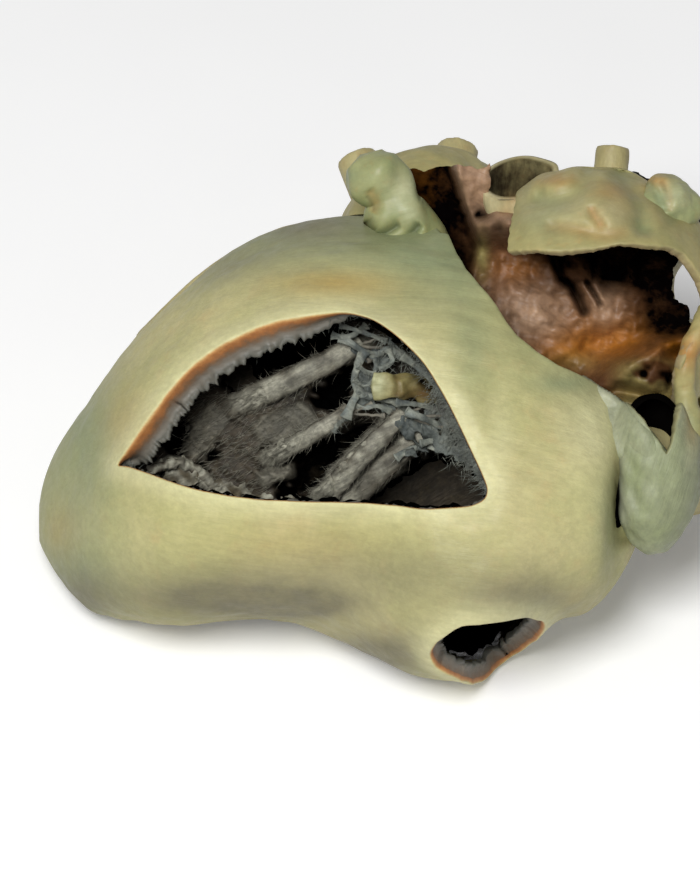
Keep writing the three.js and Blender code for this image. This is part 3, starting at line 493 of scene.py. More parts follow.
def left_lobe(x):
    """y, z, depth and height of the left lobe's ellipse."""
    shrink = tail(x, 8)
    full = 27 * nose(x, 46, 0.57)
    y = 2 * step(x, -30, 0) + 3 * step(x, 8, TAIL_X) - 2.5 * step(x, -50, -42) * (1 - step(x, -34, -20))
    z = full + 8 * np.exp(-(x - APEX_X) / 2.5) - step(x, 0, 30)
    return y, z, 33 * nose(x, 46, 0.53) * shrink, full * shrink


def right_lobe(x):
    """y, z, depth and height of the right lobe's ellipse."""
    grow = nose(x, 20, 0.5) * (0.5 + 0.5 * step(x, -30, 10))
    shrink = tail(x, 13)
    y = -17 * step(x, -35, 14) + 3 * step(x, 12, TAIL_X)
    z = 21.5 * grow + 6 * (1 - step(x, -35, 8)) + 4.5 * step(x, 12, TAIL_X)
    return y, z, 24 * grow * shrink, 21.5 * grow * shrink


def ray(angle, y, z, ellipse):
    """Distance from (y, z) to an ellipse along an angle, 0 where the ray misses it."""
    ey, ez, depth, height = ellipse
    dy, dz = np.cos(angle) / depth, np.sin(angle) / height
    oy, oz = (y - ey) / depth, (z - ez) / height
    a, b = dy * dy + dz * dz, oy * dy + oz * dz
    d = b * b - a * (oy * oy + oz * oz - 1)
    return np.where(d > 0, np.maximum((np.sqrt(np.maximum(d, 0)) - b) / a, 0), 0)


def turned(angle, degrees):
    """How far an angle is from a direction, -pi to pi."""
    off = angle - math.radians(degrees)
    return np.arctan2(np.sin(off), np.cos(off))


def outer_radius(x, angle):
    """The longer ray of the two lobes, rounded where they meet, less a hollow by the outflow tract."""
    left = left_lobe(x)
    r1 = ray(angle, left[0], left[1], left)
    r2 = ray(angle, left[0], left[1], right_lobe(x))
    near = np.maximum(1 - np.abs(r1 - r2) / 5, 0)
    hollow = 4.7 * bell(x, 24.5, 4.5) * bell(turned(angle, 215), 0, math.radians(34))
    return np.maximum(r1, r2) + near * near * 1.25 - hollow


def inner_radius(x, angle):
    """The outer radius less a wall, which is thin on the right and thick on the left and at the apex."""
    leftness = step(np.abs(turned(angle, 140)), 1.4, 2.1)
    shifted = x - (1.5 + 4.5 * leftness) * (1 - step(x, -45, 0))
    return np.maximum(outer_radius(shifted, angle) - (4.5 + 5.5 * leftness), 0.6)


def round_form(x, angle, radius):
    """Points of the ventricles' form, from x and an angle and radius round the left lobe's middle."""
    y, z, _, _ = left_lobe(x)
    return np.stack(np.broadcast_arrays(x, y + radius * np.cos(angle), z + radius * np.sin(angle)), -1)


def place_on_form(x, q, radius=outer_radius, low=65, high=195):
    """The angle at which the form's near side passes through (x, q), by halving."""
    low = np.full(np.shape(x), math.radians(low))
    high = np.full(np.shape(x), math.radians(high))
    for _ in range(30):
        middle = (low + high) / 2
        above = split(round_form(x, middle, radius(x, middle)))[1] > q
        low, high = np.where(above, middle, low), np.where(above, high, middle)
    return (low + high) / 2


# Openings cut in the ventricles
RIGHT_WINDOW = spline(
    seen(
        (118, 466), (128, 448), (142, 427), (158, 405), (178, 380), (200, 360), (228, 342), (262, 327),
        (300, 317), (330, 313), (352, 314), (372, 321), (390, 333), (408, 348), (425, 365), (440, 388),
        (452, 410), (463, 433), (473, 455), (482, 475), (487, 490), (484, 500), (474, 506), (460, 508),
        (420, 507), (380, 503.5), (330, 501), (280, 499.5), (240, 497), (205, 491), (175, 483), (148, 474),
        (130, 468.5),
    ),
    132,
    True,
)
MM_PER_DEGREE = 0.6
OUTFLOW_WINDOW = spline(
    np.array(
        [(6.4, 194), (7.1, 190), (8.3, 187.7), (10.4, 184.7), (12.6, 183.4), (17.1, 183), (20.5, 184.5),
         (23.2, 190), (23.6, 197), (22, 210), (19.8, 219), (17.2, 222), (14.2, 216), (11.3, 206.5),
         (9, 201), (7.2, 198)]
    ) * [1, MM_PER_DEGREE],
    80,
    True,
)
# Dabs of tone: (tone, photo x, photo y, half width, half height, strength)
# On the skin, the bluish dabs are painted shade low on the heart and along its top, the darkening dabs are
# painted shade in the crease beside the auricle, and the pale dabs are painted highlight right of the large
# window and by the auricle.
SKIN_DABS = (
    ("blue", 205, 600, 96, 24, 0.95), ("blue", 75, 598, 40, 32, 0.75), ("blue", 405, 572, 90, 34, 0.5),
    ("blue", 250, 572, 130, 24, 0.35), ("green", 90, 580, 50, 34, 0.4), ("pale", 602, 412, 16, 40, 0.6),
    ("green", 596, 400, 24, 40, 0.35), ("green", 100, 440, 34, 60, 0.5), ("blue", 520, 605, 64, 34, 1.0),
    ("blue", 375, 655, 70, 30, 1.1), ("blue", 300, 604, 60, 16, 1.0), ("blue", 210, 262, 70, 22, 0.5),
    ("blue", 310, 226, 60, 18, 0.9), ("warm", 335, 285, 60, 14, 0.9), ("warm", 130, 430, 24, 40, 0.6),
    ("warm", 300, 545, 80, 26, 0.35), ("warm", 60, 530, 18, 26, 0.4), ("green", 430, 275, 60, 60, 0.5),
    ("green", 470, 350, 24, 60, 0.6), ("pale", 500, 440, 14, 44, 0.6), ("pale", 590, 425, 32, 28, 0.75),
    ("pale", 585, 470, 30, 60, 0.35), ("green", 560, 385, 30, 10, 0.6), ("green", 605, 520, 14, 50, 0.6),
    ("dark", 614, 500, 4, 40, 0.9), ("dark", 622, 540, 6, 8, 0.6),
)
ATRIAL_EDGE = seen(
    (440, 221), (447, 228), (455, 250), (465, 268), (480, 288), (495, 305), (505, 322), (515, 335),
    (535, 353), (556, 367), (580, 377), (600, 388), (615, 398), (630, 412), (645, 428),
)


def to_right_window(points):
    """Distance from the large window's outline, negative in it."""
    x, q, p = split(points)
    return np.where(p > 12, outside(x, q, RIGHT_WINDOW), 9)


def to_outflow_window(x, angle):
    """Distance from the smaller window's outline, drawn on the unrolled form, negative in it."""
    degrees = np.degrees(np.mod(angle, 2 * math.pi))
    near = (x > 0) & (x < 32) & (degrees > 160) & (degrees < 250)
    gap = np.full(np.shape(x), 9.0)
    gap[near] = outside(x[near], degrees[near] * MM_PER_DEGREE, OUTFLOW_WINDOW)
    return gap


def base_dip():
    """Angles, and how far under the base plane the ventricles' edge lies there in the photo."""
    x, q = ATRIAL_EDGE.T
    angle = place_on_form(x, q, high=190)
    depth = round_form(x, angle, outer_radius(x, angle)) @ BASE_NORMAL - BASE_OFFSET
    order = np.argsort(angle)
    return angle[order], depth[order]


def base_x(angle):
    """x at which the form meets the base plane, along each angle."""
    known, depth = base_dip()
    turn = np.mod(angle, 2 * math.pi)
    ends = [known[0] - 0.35, known[-1] + 0.35]
    offset = BASE_OFFSET + np.interp(turn, [ends[0], *known, ends[1]], [0, *depth, 0])
    low, high = np.full(angle.shape, -30.0), np.full(angle.shape, 38.2)
    for _ in range(36):
        middle = (low + high) / 2
        under = round_form(middle, angle, outer_radius(middle, angle)) @ BASE_NORMAL < offset
        low, high = np.where(under, middle, low), np.where(under, high, middle)
    return (low + high) / 2


def skin_point(x, angle):
    """The outer skin: the form, raised to a soft lip round each window, with faint lumps and fibres."""
    r = outer_radius(x, angle)
    flat = round_form(x, angle, r)
    gap = np.maximum(to_right_window(flat), 0)
    right_side = step(split(flat)[0], 6, 14)
    lip = in_mm("lip_height") * bell(gap, 0, 1.5 + 1.3 * right_side)
    lip = lip + 0.35 * right_side * bell(gap, 3.2, 2.4) - 1.1 * right_side * bell(gap, 0, 1.4)
    small = np.maximum(to_outflow_window(x, angle), 0)
    lip = lip + 0.4 * bell(small, 0, 1.6)
    # The right auricle lies in a hollow of the base, behind a sharp crease
    lip = lip - 6.5 * step(x, 31.6, 34.6) * bell(turned(angle, 172), 0, math.radians(14))
    lumps = in_mm("unevenness") * ripple(flat, 17, 3) + 0.09 * ripple(flat, 5, 4)
    fade = step(x, -50.5, -46)
    return round_form(x, angle, r + lip * step(r, 3, 8) + lumps * fade)


def ventricle_skin():
    """The skin: skin_point over shares of the way to the base and over angles, finer on the seen side."""
    turn = np.linspace(-0.5, 0.5, 400, endpoint=False)
    angles = math.radians(140) + 2 * math.pi * (turn - 0.45 * np.sin(2 * math.pi * turn) / (2 * math.pi))
    ends = base_x(angles)
    period = 2 * math.pi

    def x_of(u, angle):
        """x at a share u of the way to the base: APEX_X + (end - APEX_X) * u^1.5, a little inside."""
        end = np.interp(np.mod(angle - angles[0], period), angles - angles[0], ends, period=period)
        return APEX_X + 0.12 + (end - APEX_X - 0.12) * u**1.5

    def point(u, angle):
        return skin_point(x_of(u, angle), angle)

    def keep(u, angle):
        """Positive outside both windows."""
        x = x_of(u, angle)
        flat = round_form(x, angle, outer_radius(x, angle))
        return np.minimum(to_right_window(flat), to_outflow_window(x, angle))

    uv, faces, ids, loops = cut_grid(np.linspace(0, 1, 230), angles, keep, period)
    points = point(uv[:, 0], uv[:, 1])
    flat_gap = np.minimum(to_right_window(points), to_outflow_window(points[:, 0], uv[:, 1]))
    # Painted highlight on the lip round both windows
    pale = 0.85 * bell(np.maximum(flat_gap, 0), 0, 2.2)
    patch = Patch(points, faces, {"cut": np.zeros(len(points)), "pale": pale})
    patch.close(ids[0], points[ids[0]].mean(0, keepdims=True), True)
    for loop, closed in loops:
        normals = -surface_normals(point, uv[loop])
        edge = points[loop]
        if split(edge)[1].mean() > 5:
            rows, tones = window_section(edge)
            share = wall_in_view(edge)[:, None]
            normals = share * normals + (1 - share) * P_AXIS
        else:
            rows, tones = outflow_section(edge)
        patch.add_rim(loop, closed, normals, rows, tones)
    # The edge towards the atria turns in
    loop = ids[-1][::-1].tolist()
    rows = [(0.12, 0.08), (0.24, 0.3), (0.3, 0.7), (0.28, 1.5), (0.15, 2.7), (-0.1, 4.2)]
    patch.add_rim(loop, True, -surface_normals(point, uv[loop] - [0.002, 0]), rows, {})
    patch.tones["green"] = ventricle_green_and_edge_shade(*split(patch.points)[:2])
    return paint(patch, *SKIN_DABS)


def ventricle_green_and_edge_shade(x, q):
    """Greener towards the caudal edge, the atria and the apex: the tissue's greenish tint, which is also
    darker than the skin, so it paints shade along the caudal edge and at the apex as well.
    """
    edges = 0.85 * step(q, 36, 50) + 0.6 * step(x, 12, 26) * step(q, 20, 34)
    return np.clip(edges + 0.6 * step(-x, 34, 47), 0, 1)


def upper_left(x, q):
    """1 along the large window's upper left side, where its cut wall faces the viewer."""
    return step(q, 13, 19) * (1 - step(x, -14, -2))


def wall_in_view(edge):
    """1 where the cut wall of the large window faces the viewer, and 0 where the skin hides it."""
    return upper_left(*split(edge)[:2])


def window_section(edge):
    """Rows of the large window's cut wall, and their tones: a lip, cut muscle, ragged lining."""
    facing = wall_in_view(edge)
    wall = in_mm("cut_depth") * (2 + facing) / 3 + 0.25 * ripple(edge, 3, 8)
    rag = (0.5 + 0.45 * ripple(edge, 1.3, 9) + 0.35 * ripple(edge, 0.55, 10)) * (0.3 + 0.7 * facing)
    lean = -1.2 * (1 - facing)
    lip = 0.45 + 0.55 * facing
    rows = [
        (0.22 * lip, 0.03), (0.42 * lip, 0.16), (0.55 * lip, 0.4), (0.55 * lip + 0.1 * lean, 0.75),
        (0.6 + 0.3 * lean, 0.35 * wall), (0.6 + 0.6 * lean, 0.6 * wall), (0.65 + lean, 0.85 * wall),
        (0.75 + lean, wall), (1.0 + lean + 0.5 * rag, wall + 0.15), (1.3 + lean + 1.1 * rag, wall + 0.45),
        (1.2 + lean + 1.0 * rag, wall + 0.9), (0.4 + lean, wall + 1.3),
    ]
    hidden = 1 - facing
    cut_in_view = (0.03, 0.1, 0.2, 0.3, 0.36, 0.46, 0.62, 0.8, 0.95, 1, 1, 1)
    cut_hidden = (0.04, 0.16, 0.3, 0.36, 0.42, 0.5, 0.76, 0.8, 0.9, 1, 1, 1)
    cut = [c * facing + d * hidden for c, d in zip(cut_in_view, cut_hidden)]
    # Painted highlight on the lip, weaker where the skin hides the wall
    less = 1 - 0.5 * hidden * (1 - step(split(edge)[0], 8, 14))
    pale = [v * less for v in (0.9, 0.8, 0.6, 0.2, 0, 0, 0, 0, 0, 0, 0, 0)]
    return rows, {"cut": cut, "pale": pale}


def outflow_section(edge):
    """Rows of the smaller window's cut wall, and their tones."""
    wall = 2.4 + 0.3 * ripple(edge, 3, 11)
    rag = 0.5 + 0.5 * ripple(edge, 1.2, 12)
    rows = [
        (0.12, 0.03), (0.24, 0.15), (0.3, 0.36), (0.3, 0.8), (0.3, 0.4 * wall), (0.3, 0.7 * wall),
        (0.3, wall), (0.4 + 0.4 * rag, wall + 0.2), (0.5 + 0.6 * rag, wall + 0.6), (0.1, wall + 1.0),
    ]
    cut = [0.04, 0.1, 0.2, 0.35, 0.5, 0.6, 0.7, 0.9, 1, 1]
    # Painted highlight on the lip
    pale = [0.9, 0.8, 0.6, 0.3, 0, 0, 0, 0, 0, 0]
    return rows, {"cut": cut, "pale": pale}


# The right ventricle's inside
SEPTUM_THICKNESS = 9.0


def septum_face(x, q):
    """Height p of the septum's right face."""
    apex = 1 - step(x, -40, -10)
    rise = 12 * (1 - step(x, -30, -6)) * (1 - step(q, 0, 12))
    return 26 - 7 * step(x, -10, 22) - 7 * apex - (q - 22 + 8 * apex) ** 2 / 54 + rise


# Beams and hollows of the septum, by their place in the photograph: (points, width mm, height mm, strength of
# the painted highlight on the crest)
BEAMS = (
    (((214, 416), (245, 401), (280, 384), (318, 366), (360, 348), (384, 338)), 1.9, 2.6, 0.75),
    (((255, 466), (275, 454), (310, 434), (346, 415), (368, 406)), 1.2, 2.4, 0.9),
    (((306, 512), (320, 496), (345, 468), (372, 441), (400, 414), (412, 402)), 1.7, 4.6, 1.0),
    (((372, 452), (392, 446), (412, 436), (440, 427), (470, 424)), 1.3, 2.6, 0.6),
    (((330, 508), (355, 490), (385, 466), (410, 452)), 2.6, 2.8, 0.55),
    (((150, 470), (176, 462), (205, 482), (240, 492)), 1.2, 1.6, 0.8),
    (((225, 405), (205, 432), (190, 462)), 2.4, 0.9, 0.25),
    (((250, 436), (285, 424), (320, 410)), 2.4, 1.0, 0.3),
    (((255, 482), (275, 474), (300, 470)), 1.4, 1.2, 0.4),
)
# (outline, depth mm, softness mm, strength of the painted shade in it, warmth)
HOLLOWS = (
    (((219, 372), (250, 352), (300, 328), (338, 320), (356, 336), (332, 352), (292, 368), (262, 384),
      (248, 402), (232, 398)), 8, 1.6, 1.0, 0.1),
    (((157, 402), (172, 398), (186, 424), (192, 448), (180, 458), (160, 452)), 6, 1.2, 1.0, 0.0),
    (((194, 466), (200, 452), (212, 442), (222, 446), (218, 458), (204, 472)), 3, 0.9, 0.8, 0.0),
    (((306, 400), (322, 384), (345, 362), (358, 366), (354, 396), (346, 410), (322, 410)), 4.5, 1.8, 0.9,
      0.4),
    (((262, 470), (300, 448), (345, 424), (392, 416), (376, 436), (345, 462), (312, 496), (286, 486)), 4.2,
      1.6, 0.7, 0.1),
    (((344, 506), (372, 486), (404, 462), (440, 452), (480, 462), (500, 505), (440, 526), (380, 524)), 10,
      2.2, 1.1, 0.0),
    (((384, 446), (396, 432), (420, 422), (432, 430), (412, 442)), 4, 0.8, 0.95, 0.2),
    (((272, 486), (284, 480), (304, 492), (300, 504), (280, 504)), 3.4, 0.8, 0.9, 0.4),
    (((178, 474), (196, 472), (214, 484), (196, 492)), 2.4, 0.8, 0.8, 0.0),
    (((262, 446), (300, 430), (336, 412), (344, 416), (300, 440), (268, 456)), 1.8, 0.7, 0.7, 0.0),
    (((218, 366), (244, 360), (268, 390), (252, 402), (232, 396)), 6.5, 1.0, 1.0, 0.0),
)


def septum_relief(x, q):
    """Height of the beams and hollows over the septum's face, and their tones: a painted highlight on the
    beams' crests, painted shade in the hollows, and warmth.
    """
    rise, pale, dark, warm = np.zeros(x.shape), np.zeros(x.shape), np.zeros(x.shape), np.zeros(x.shape)
    for outline, depth, soft, shade_strength, brown in HOLLOWS:
        gap = outside(x, q, spline(seen(*outline), 6 * len(outline), True))
        gap = gap + 0.5 * ripple(at(x, q, 0), 2.2, int(depth * 10))
        inside = step(-gap, -0.3 * soft, soft)
        rise = rise - depth * inside
        dark = np.maximum(dark, shade_strength * step(-gap, -0.7, 1.1))
        warm = np.maximum(warm, brown * inside)
    for path, width, height, white in BEAMS:
        far, along = beside(x, q, spline(seen(*path), 8 * len(path)))
        far = far + 0.22 * ripple(at(x, q, 0), 2.6, int(height * 10))
        ends = step(along, 0, 0.25) * (1 - step(along, 0.75, 1))
        beam = np.sqrt(np.maximum(1 - (far / width) ** 2, 0)) * ends
        top = height * beam * (0.8 + 0.2 * ripple(at(x, q, 0), 5, 7))
        rise = np.where(beam > 0, np.maximum(rise, np.minimum(rise, 0) * (1 - beam) + top), rise)
        pale = np.maximum(pale, white * step(beam, 0.15, 0.8))
        dark = dark * (1 - step(beam, 0.1, 0.6))
    along_fibres = at(0.35 * x - 0.25 * q, 0.9 * x + 1.25 * q, 0)
    rise = rise + 0.2 * ripple(along_fibres, 1.7, 21) + 0.3 * ripple(at(x, q, 0), 4.5, 22)
    return rise, pale, dark, warm


def septum_patch():
    """The septum: at each x a ring over septum_face with its relief, and back SEPTUM_THICKNESS below."""
    xs = np.concatenate([np.linspace(-42.6, -40.4, 6), np.linspace(-40, 18, 196), np.linspace(18.8, 33, 20)])
    y, z, _, _ = left_lobe(xs)
    middle = y * math.cos(TILT) + z * math.sin(TILT)
    middle = np.minimum(middle, (25 - 0.84 * xs + 0.266 * 19) / 0.473 - 2)

    def limit(start, end):
        """q between start and end where the septum meets the chamber's wall or the base."""
        low, high = np.zeros(xs.shape), np.ones(xs.shape)
        for _ in range(26):
            t = (low + high) / 2
            q = start + (end - start) * t
            points = at(xs, q, septum_face(xs, q))
            angle = np.arctan2(points[:, 2] - z, points[:, 1] - y)
            r = np.hypot(points[:, 2] - z, points[:, 1] - y)
            inside = (r < inner_radius(xs, angle) + 2.2) & (points @ BASE_NORMAL < BASE_OFFSET - 0.9)
            low, high = np.where(inside, t, low), np.where(inside, high, t)
        return start + (end - start) * low

    low, high = limit(middle, middle - 50), limit(middle, middle + 50)
    v = np.linspace(0, 1, 190)[None, :]
    q = low[:, None] + (high - low)[:, None] * v
    x = np.broadcast_to(xs[:, None], q.shape)
    rise, pale, dark, warm = septum_relief(x, q)
    edge = step(np.minimum(v, 1 - v), 0, 0.03)
    top = at(x, q, septum_face(x, q) + rise * edge)
    w = np.linspace(1, 0, 14)[None, :]
    under_q = low[:, None] + (high - low)[:, None] * w
    under_x = np.broadcast_to(xs[:, None], under_q.shape)
    under = at(under_x, under_q, septum_face(under_x, under_q) - SEPTUM_THICKNESS)
    rings = np.concatenate([top, under], 1)
    rows, sides = rings.shape[:2]

    def spread(values):
        """A tone of the face's points, with 0 for the points below."""
        return np.concatenate([values, np.zeros((rows, sides - values.shape[1]))], 1).ravel()

    # Painted shade in the hooked recess where the caudal muscle starts
    dark = np.maximum(dark, 1.1 * bell(x, -21.5, 2.6) * bell(q, 28.4, 2.2))
    faces = grid_faces(rows, sides, True)[..., ::-1].reshape(-1, 4).tolist()
    tones = {"pale": spread(pale), "dark": spread(dark), "warm": spread(warm)}
    patch = Patch(rings.reshape(-1, 3), faces, tones)
    patch.close(np.arange(sides), rings[:1].mean(1))
    patch.close((rows - 1) * sides + np.arange(sides), rings[-1:].mean(1), True)
    return patch.add(septum_fuzz())


def septum_fuzz():
    """Fine fibres that lie along the muscle of the septum where the large window shows it."""
    rng = np.random.default_rng(371)
    x, q = rng.uniform(-37, 15, 5200), rng.uniform(8, 37, 5200)
    rise, _, dark, _ = septum_relief(x, q)
    chosen = (dark < 0.3) & (outside(x, q, RIGHT_WINDOW) < 1)
    x, q, rise = x[chosen], q[chosen], rise[chosen]
    long = rng.uniform(0.6, 2.4, len(x))
    ways = at(-0.88 + rng.normal(0, 0.2, len(x)), -0.47 + rng.normal(0, 0.3, len(x)), 0.02) * long[:, None]
    return hairs(on_septum(x, q, rise + 0.1), ways, 0.055, {"pale": 0.5}, 372)


def lining_patch():
    """The inside of the right ventricle's outer wall, above the septum, with low muscle ridges, painted in
    full shade.
    """

    def place(u, angle):
        """x at a share u of the way to the base, and the outer form's point there."""
        x = -44 + (base_x(angle) - 0.4 + 44) * u
        return x, round_form(x, angle, outer_radius(x, angle))

    def keep(u, angle):
        """Positive where the lining stays: it ends raggedly near the windows."""
        x, over = place(u, angle)
        under = to_right_window(round_form(x, angle, inner_radius(x, angle)))
        gaps = [to_right_window(over) + 0.7, under + 0.2, to_outflow_window(x, angle) + 0.7]
        return np.minimum.reduce(gaps) + 0.3 * ripple(over, 1.5, 33)

    uv, faces, _, _ = cut_grid(np.linspace(0, 1, 120), np.radians(np.linspace(30, 250, 190)), keep)
    u, angle = uv.T
    x, over = place(u, angle)
    flat = round_form(x, angle, inner_radius(x, angle))
    ridges = 0.55 * np.abs(ripple(flat, 6, 31)) + 0.35 * ripple(flat, 3, 32)
    points = round_form(x, angle, inner_radius(x, angle) - 0.2 - ridges)
    _, q, p = split(points)
    above = p > septum_face(x, q) - 5
    under = points @ BASE_NORMAL < BASE_OFFSET - 0.5
    faces = [f[::-1] for f in faces if above[f].any() and under[f].all()]
    # Painted shade over the whole lining
    return Patch(points, faces, {"dark": np.full(len(points), 1.0)})


LACE_SPACING = 0.24


def lace(outline, height, seed, rag, holes, hole_size):
    """A torn sheet over an outline in the photograph: ragged at its edge, open where noise is above 1 - holes.

    height(x, q) is p of the sheet."""
    loop = spline(seen(*outline), 6 * len(outline), True)
    low, high = loop.min(0) - 1, loop.max(0) + 1
    xs = np.arange(low[0], high[0], LACE_SPACING)
    qs = np.arange(low[1], high[1], LACE_SPACING)

    def keep(x, q):
        """Positive in the sheet."""
        flat = at(x, q, 0)
        edge = -outside(x, q, loop) + rag * ripple(flat, 1.6, seed) + 0.5 * rag * ripple(flat, 0.7, seed + 1)
        return np.minimum(edge, (1 - holes) - ripple(flat, hole_size, seed + 2))

    uv, faces, _, _ = cut_grid(xs, qs, keep)
    x, q = uv.T
    flat = at(x, q, 0)
    p = height(x, q) + 0.3 * ripple(flat, 2.4, seed + 3) + 0.12 * ripple(flat, 0.9, seed + 4)
    return Patch(at(x, q, p), faces)


def on_septum(x, q, rise):
    """Points at a height over the septum's face."""
    return at(x, q, septum_face(x, q) + rise)


def strand_in_view(points, radius, seed, **more):
    """A rough strand through (photo x, photo y, height over the septum)."""
    rows = np.array(points, float)
    x, q = seen(*rows[:, :2]).T
    return tube(on_septum(x, q, rows[:, 2]), radius, seed=seed, **more)


# The atria
RIGHT_ATRIUM = ((31, 37, 22), (19, 22, 18))
LEFT_ATRIUM = ((7.5, 42, -1), (16, 20, 15))
LEFT_AURICLE = ((21, 25, -12.5), (7.5, 9.5, 5.5))


def oval_point(form, a, b):
    """Point of an ellipsoid: a runs from 0 at its +x end to pi, and b turns from +q through +p."""
    (x, q, p), (hx, hq, hp) = form
    return at(x + hx * np.cos(a), q + hq * np.sin(a) * np.cos(b), p + hp * np.sin(a) * np.sin(b))


def beyond_form(points):
    """x of points, and how far outside the ventricles' form they are there."""
    x, y, z = np.moveaxis(points, -1, 0)
    cy, cz, _, _ = left_lobe(np.minimum(x, LAST_X))
    radius = outer_radius(np.clip(x, APEX_X, LAST_X), np.arctan2(z - cz, y - cy))
    return x, np.hypot(z - cz, y - cy) - radius


def clear_of_ventricles(points, gap=0.3, top=3.1):
    """How far points are outside the ventricles and their base plate."""
    x, beyond = beyond_form(points)
    return np.maximum(np.where(x > LAST_X, 5.0, beyond - gap), points @ BASE_NORMAL - BASE_OFFSET - top)


def blob(form, keep, lumps, rows, sides, rim=None):
    """An ellipsoid with lumps, open where keep(points) is negative; lumps are (size, height, seed).

    rim(edge points) gives the rows and tones of the wall seen along the opening, as for rim_rows."""

    def point(a, b):
        """The ellipsoid's point, moved out by the lumps."""
        flat = oval_point(form, a, b)
        out = flat - at(*form[0])
        out = out / np.linalg.norm(out, axis=-1, keepdims=True)
        rise = sum(height * ripple(flat, size, seed) for size, height, seed in lumps)
        return flat + out * rise[..., None]

    def kept(a, b):
        return np.ones(a.shape) if keep is None else keep(point(a, b))

    bs = np.linspace(0, 2 * math.pi, sides, endpoint=False)
    uv, faces, ids, loops = cut_grid(np.linspace(0.02, math.pi - 0.02, rows), bs, kept, 2 * math.pi)
    points = point(uv[:, 0], uv[:, 1])
    patch = Patch(points, [f[::-1] for f in faces], {"cut": np.zeros(len(points))})
    for ring, backwards in ((ids[0], False), (ids[-1], True)):
        middle = points[ring].mean(0, keepdims=True)
        if keep is None or keep(middle)[0] > 0:
            patch.close(ring, middle, backwards)
    for loop, closed in loops if rim else ():
        if len(loop) < 12:
            continue
        loop = loop[::-1]
        normals = surface_normals(point, uv[loop])
        out = points[loop] - at(*form[0])
        normals *= np.sign((normals * out).sum(-1, keepdims=True))
        section, cut = rim(points[loop])
        patch.add_rim(loop, closed, normals, section, {"cut": cut})
    return patch


def thin_edge(edge, wall, rag, seed):
    """Rows and cut tones of a thin torn wall."""
    torn = rag * ripple(edge, 1.4, seed)
    rows = [
        (0.15 + torn, 0.02), (0.28 + torn, 0.15), (0.33 + torn, 0.4), (0.3 + torn, 0.8 * wall),
        (0.15 + torn, wall + 0.1), (-0.4, wall + 0.35), (-1.6, wall + 0.5), (-4.0, wall + 0.6),
    ]
    return rows, [0.1, 0.35, 0.6, 0.8, 1, 1, 1, 1]


ATRIUM_WINDOW = spline(
    seen(
        (440, 160), (517, 160), (516, 196), (507, 246), (512, 250), (530, 250), (560, 251), (580, 250),
        (600, 247), (622, 244), (660, 246), (676, 250), (684, 256), (692, 266), (703, 284), (709, 305),
        (704, 328), (692, 344), (682, 362), (677, 385), (676, 405), (674, 425), (667, 456), (655, 500),
        (600, 500), (540, 420), (430, 330),
    ),
    150,
    True,
)


def atrium_shell_keep(points):
    """Positive where the right atrium's outer wall stays."""
    x, q, p = split(points)
    window = np.where(p > 15, outside(x, q, ATRIUM_WINDOW), 9)
    caval = np.where((p < 21) & (x > 36), np.hypot(x - (46.2 - 0.35 * (p - 14)), q - 41) - 6.5, 9)
    return np.minimum.reduce([window, caval, clear_of_ventricles(points), p - 14.8 + 2 * step(x, 40, 44)])


# The right atrium's floor, by places in the photograph
CLEFT = ((552, 240), (556, 262), (562, 278), (572, 286), (578, 298), (584, 312))
SECOND_CLEFT = ((586, 282), (594, 294), (600, 305))
FLOOR_RIDGE = ((562, 236), (572, 256), (588, 278), (600, 300), (606, 318))
FLOOR_SHELF = ((596, 384), (622, 370), (645, 358), (662, 346), (700, 336))
MOUTH_BAND = ((604, 378), (622, 381), (642, 386), (660, 393), (678, 404))
# Swellings and dips: (photo x, photo y, half width, half height, mm)
FLOOR_SWELLS = (
    (480, 214, 11, 10, -2.4), (497, 226, 8, 9, -2), (528, 314, 44, 34, 3), (605, 345, 32, 18, -2.2),
    (648, 262, 22, 12, 3.5), (504, 226, 24, 15, 6.4),
)
# Dabs of tone: (tone, photo x, photo y, half width, half height, strength)
# The darkening dabs are painted shade: in the auricle's mouth, in the two dips, in the cave, by the vein's
# hole, in a cleft and in the gap by the ventricles.
FLOOR_DABS = (
    ("warm", 606, 338, 44, 22, 1.0), ("warm", 560, 352, 22, 18, 0.8), ("pale", 530, 315, 42, 28, 0.95),
    ("pale", 606, 305, 17, 26, 0.75), ("green", 482, 256, 7, 22, 0.8), ("dark", 655, 436, 34, 22, 2.0),
    ("dark", 480, 214, 10, 9, 0.9), ("dark", 497, 226, 8, 8, 0.6), ("dark", 622, 268, 46, 17, 1.6),
    ("dark", 672, 312, 20, 32, 0.9), ("warm", 676, 350, 14, 12, 0.9), ("warm", 505, 213, 6, 6, 0.8),
    ("warm", 640, 392, 30, 7, 0.3), ("dark", 560, 262, 12, 10, 0.5), ("green", 572, 362, 26, 10, 0.4),
    ("dark", 446, 240, 14, 60, 0.7), ("warm", 520, 268, 26, 12, 0.5),
)
VEIN_HOLE = (
    (683, 257), (675, 264), (672, 276), (672, 292), (674, 300), (682, 303), (687, 309), (687, 317),
    (692, 324), (712, 326), (724, 290), (704, 258),
)


def crevice(px, py):
    """1 in the shaded gap between the ventricles and the atrium's wall, 0 elsewhere."""
    edge = np.interp(py, [171, 205, 245, 290], [452, 462, 478, 466])
    return 1 - step(px, edge - 7, edge + 7)


def auricle_pits(px, py, flat):
    """Two ragged pits above the auricle's mouth, 0 to 1."""
    left = bell(px, 642, 3.6) * bell(py, 374, 3.4) + 0.5 * bell(px, 647, 4) * bell(py, 368, 2.5)
    right = bell(px, 669, 4) * bell(py, 380, 5.5) + 0.5 * bell(px, 663, 4) * bell(py, 375, 3)
    return np.clip(left + right + 0.1 * ripple(flat, 1.4, 77), 0, 1)


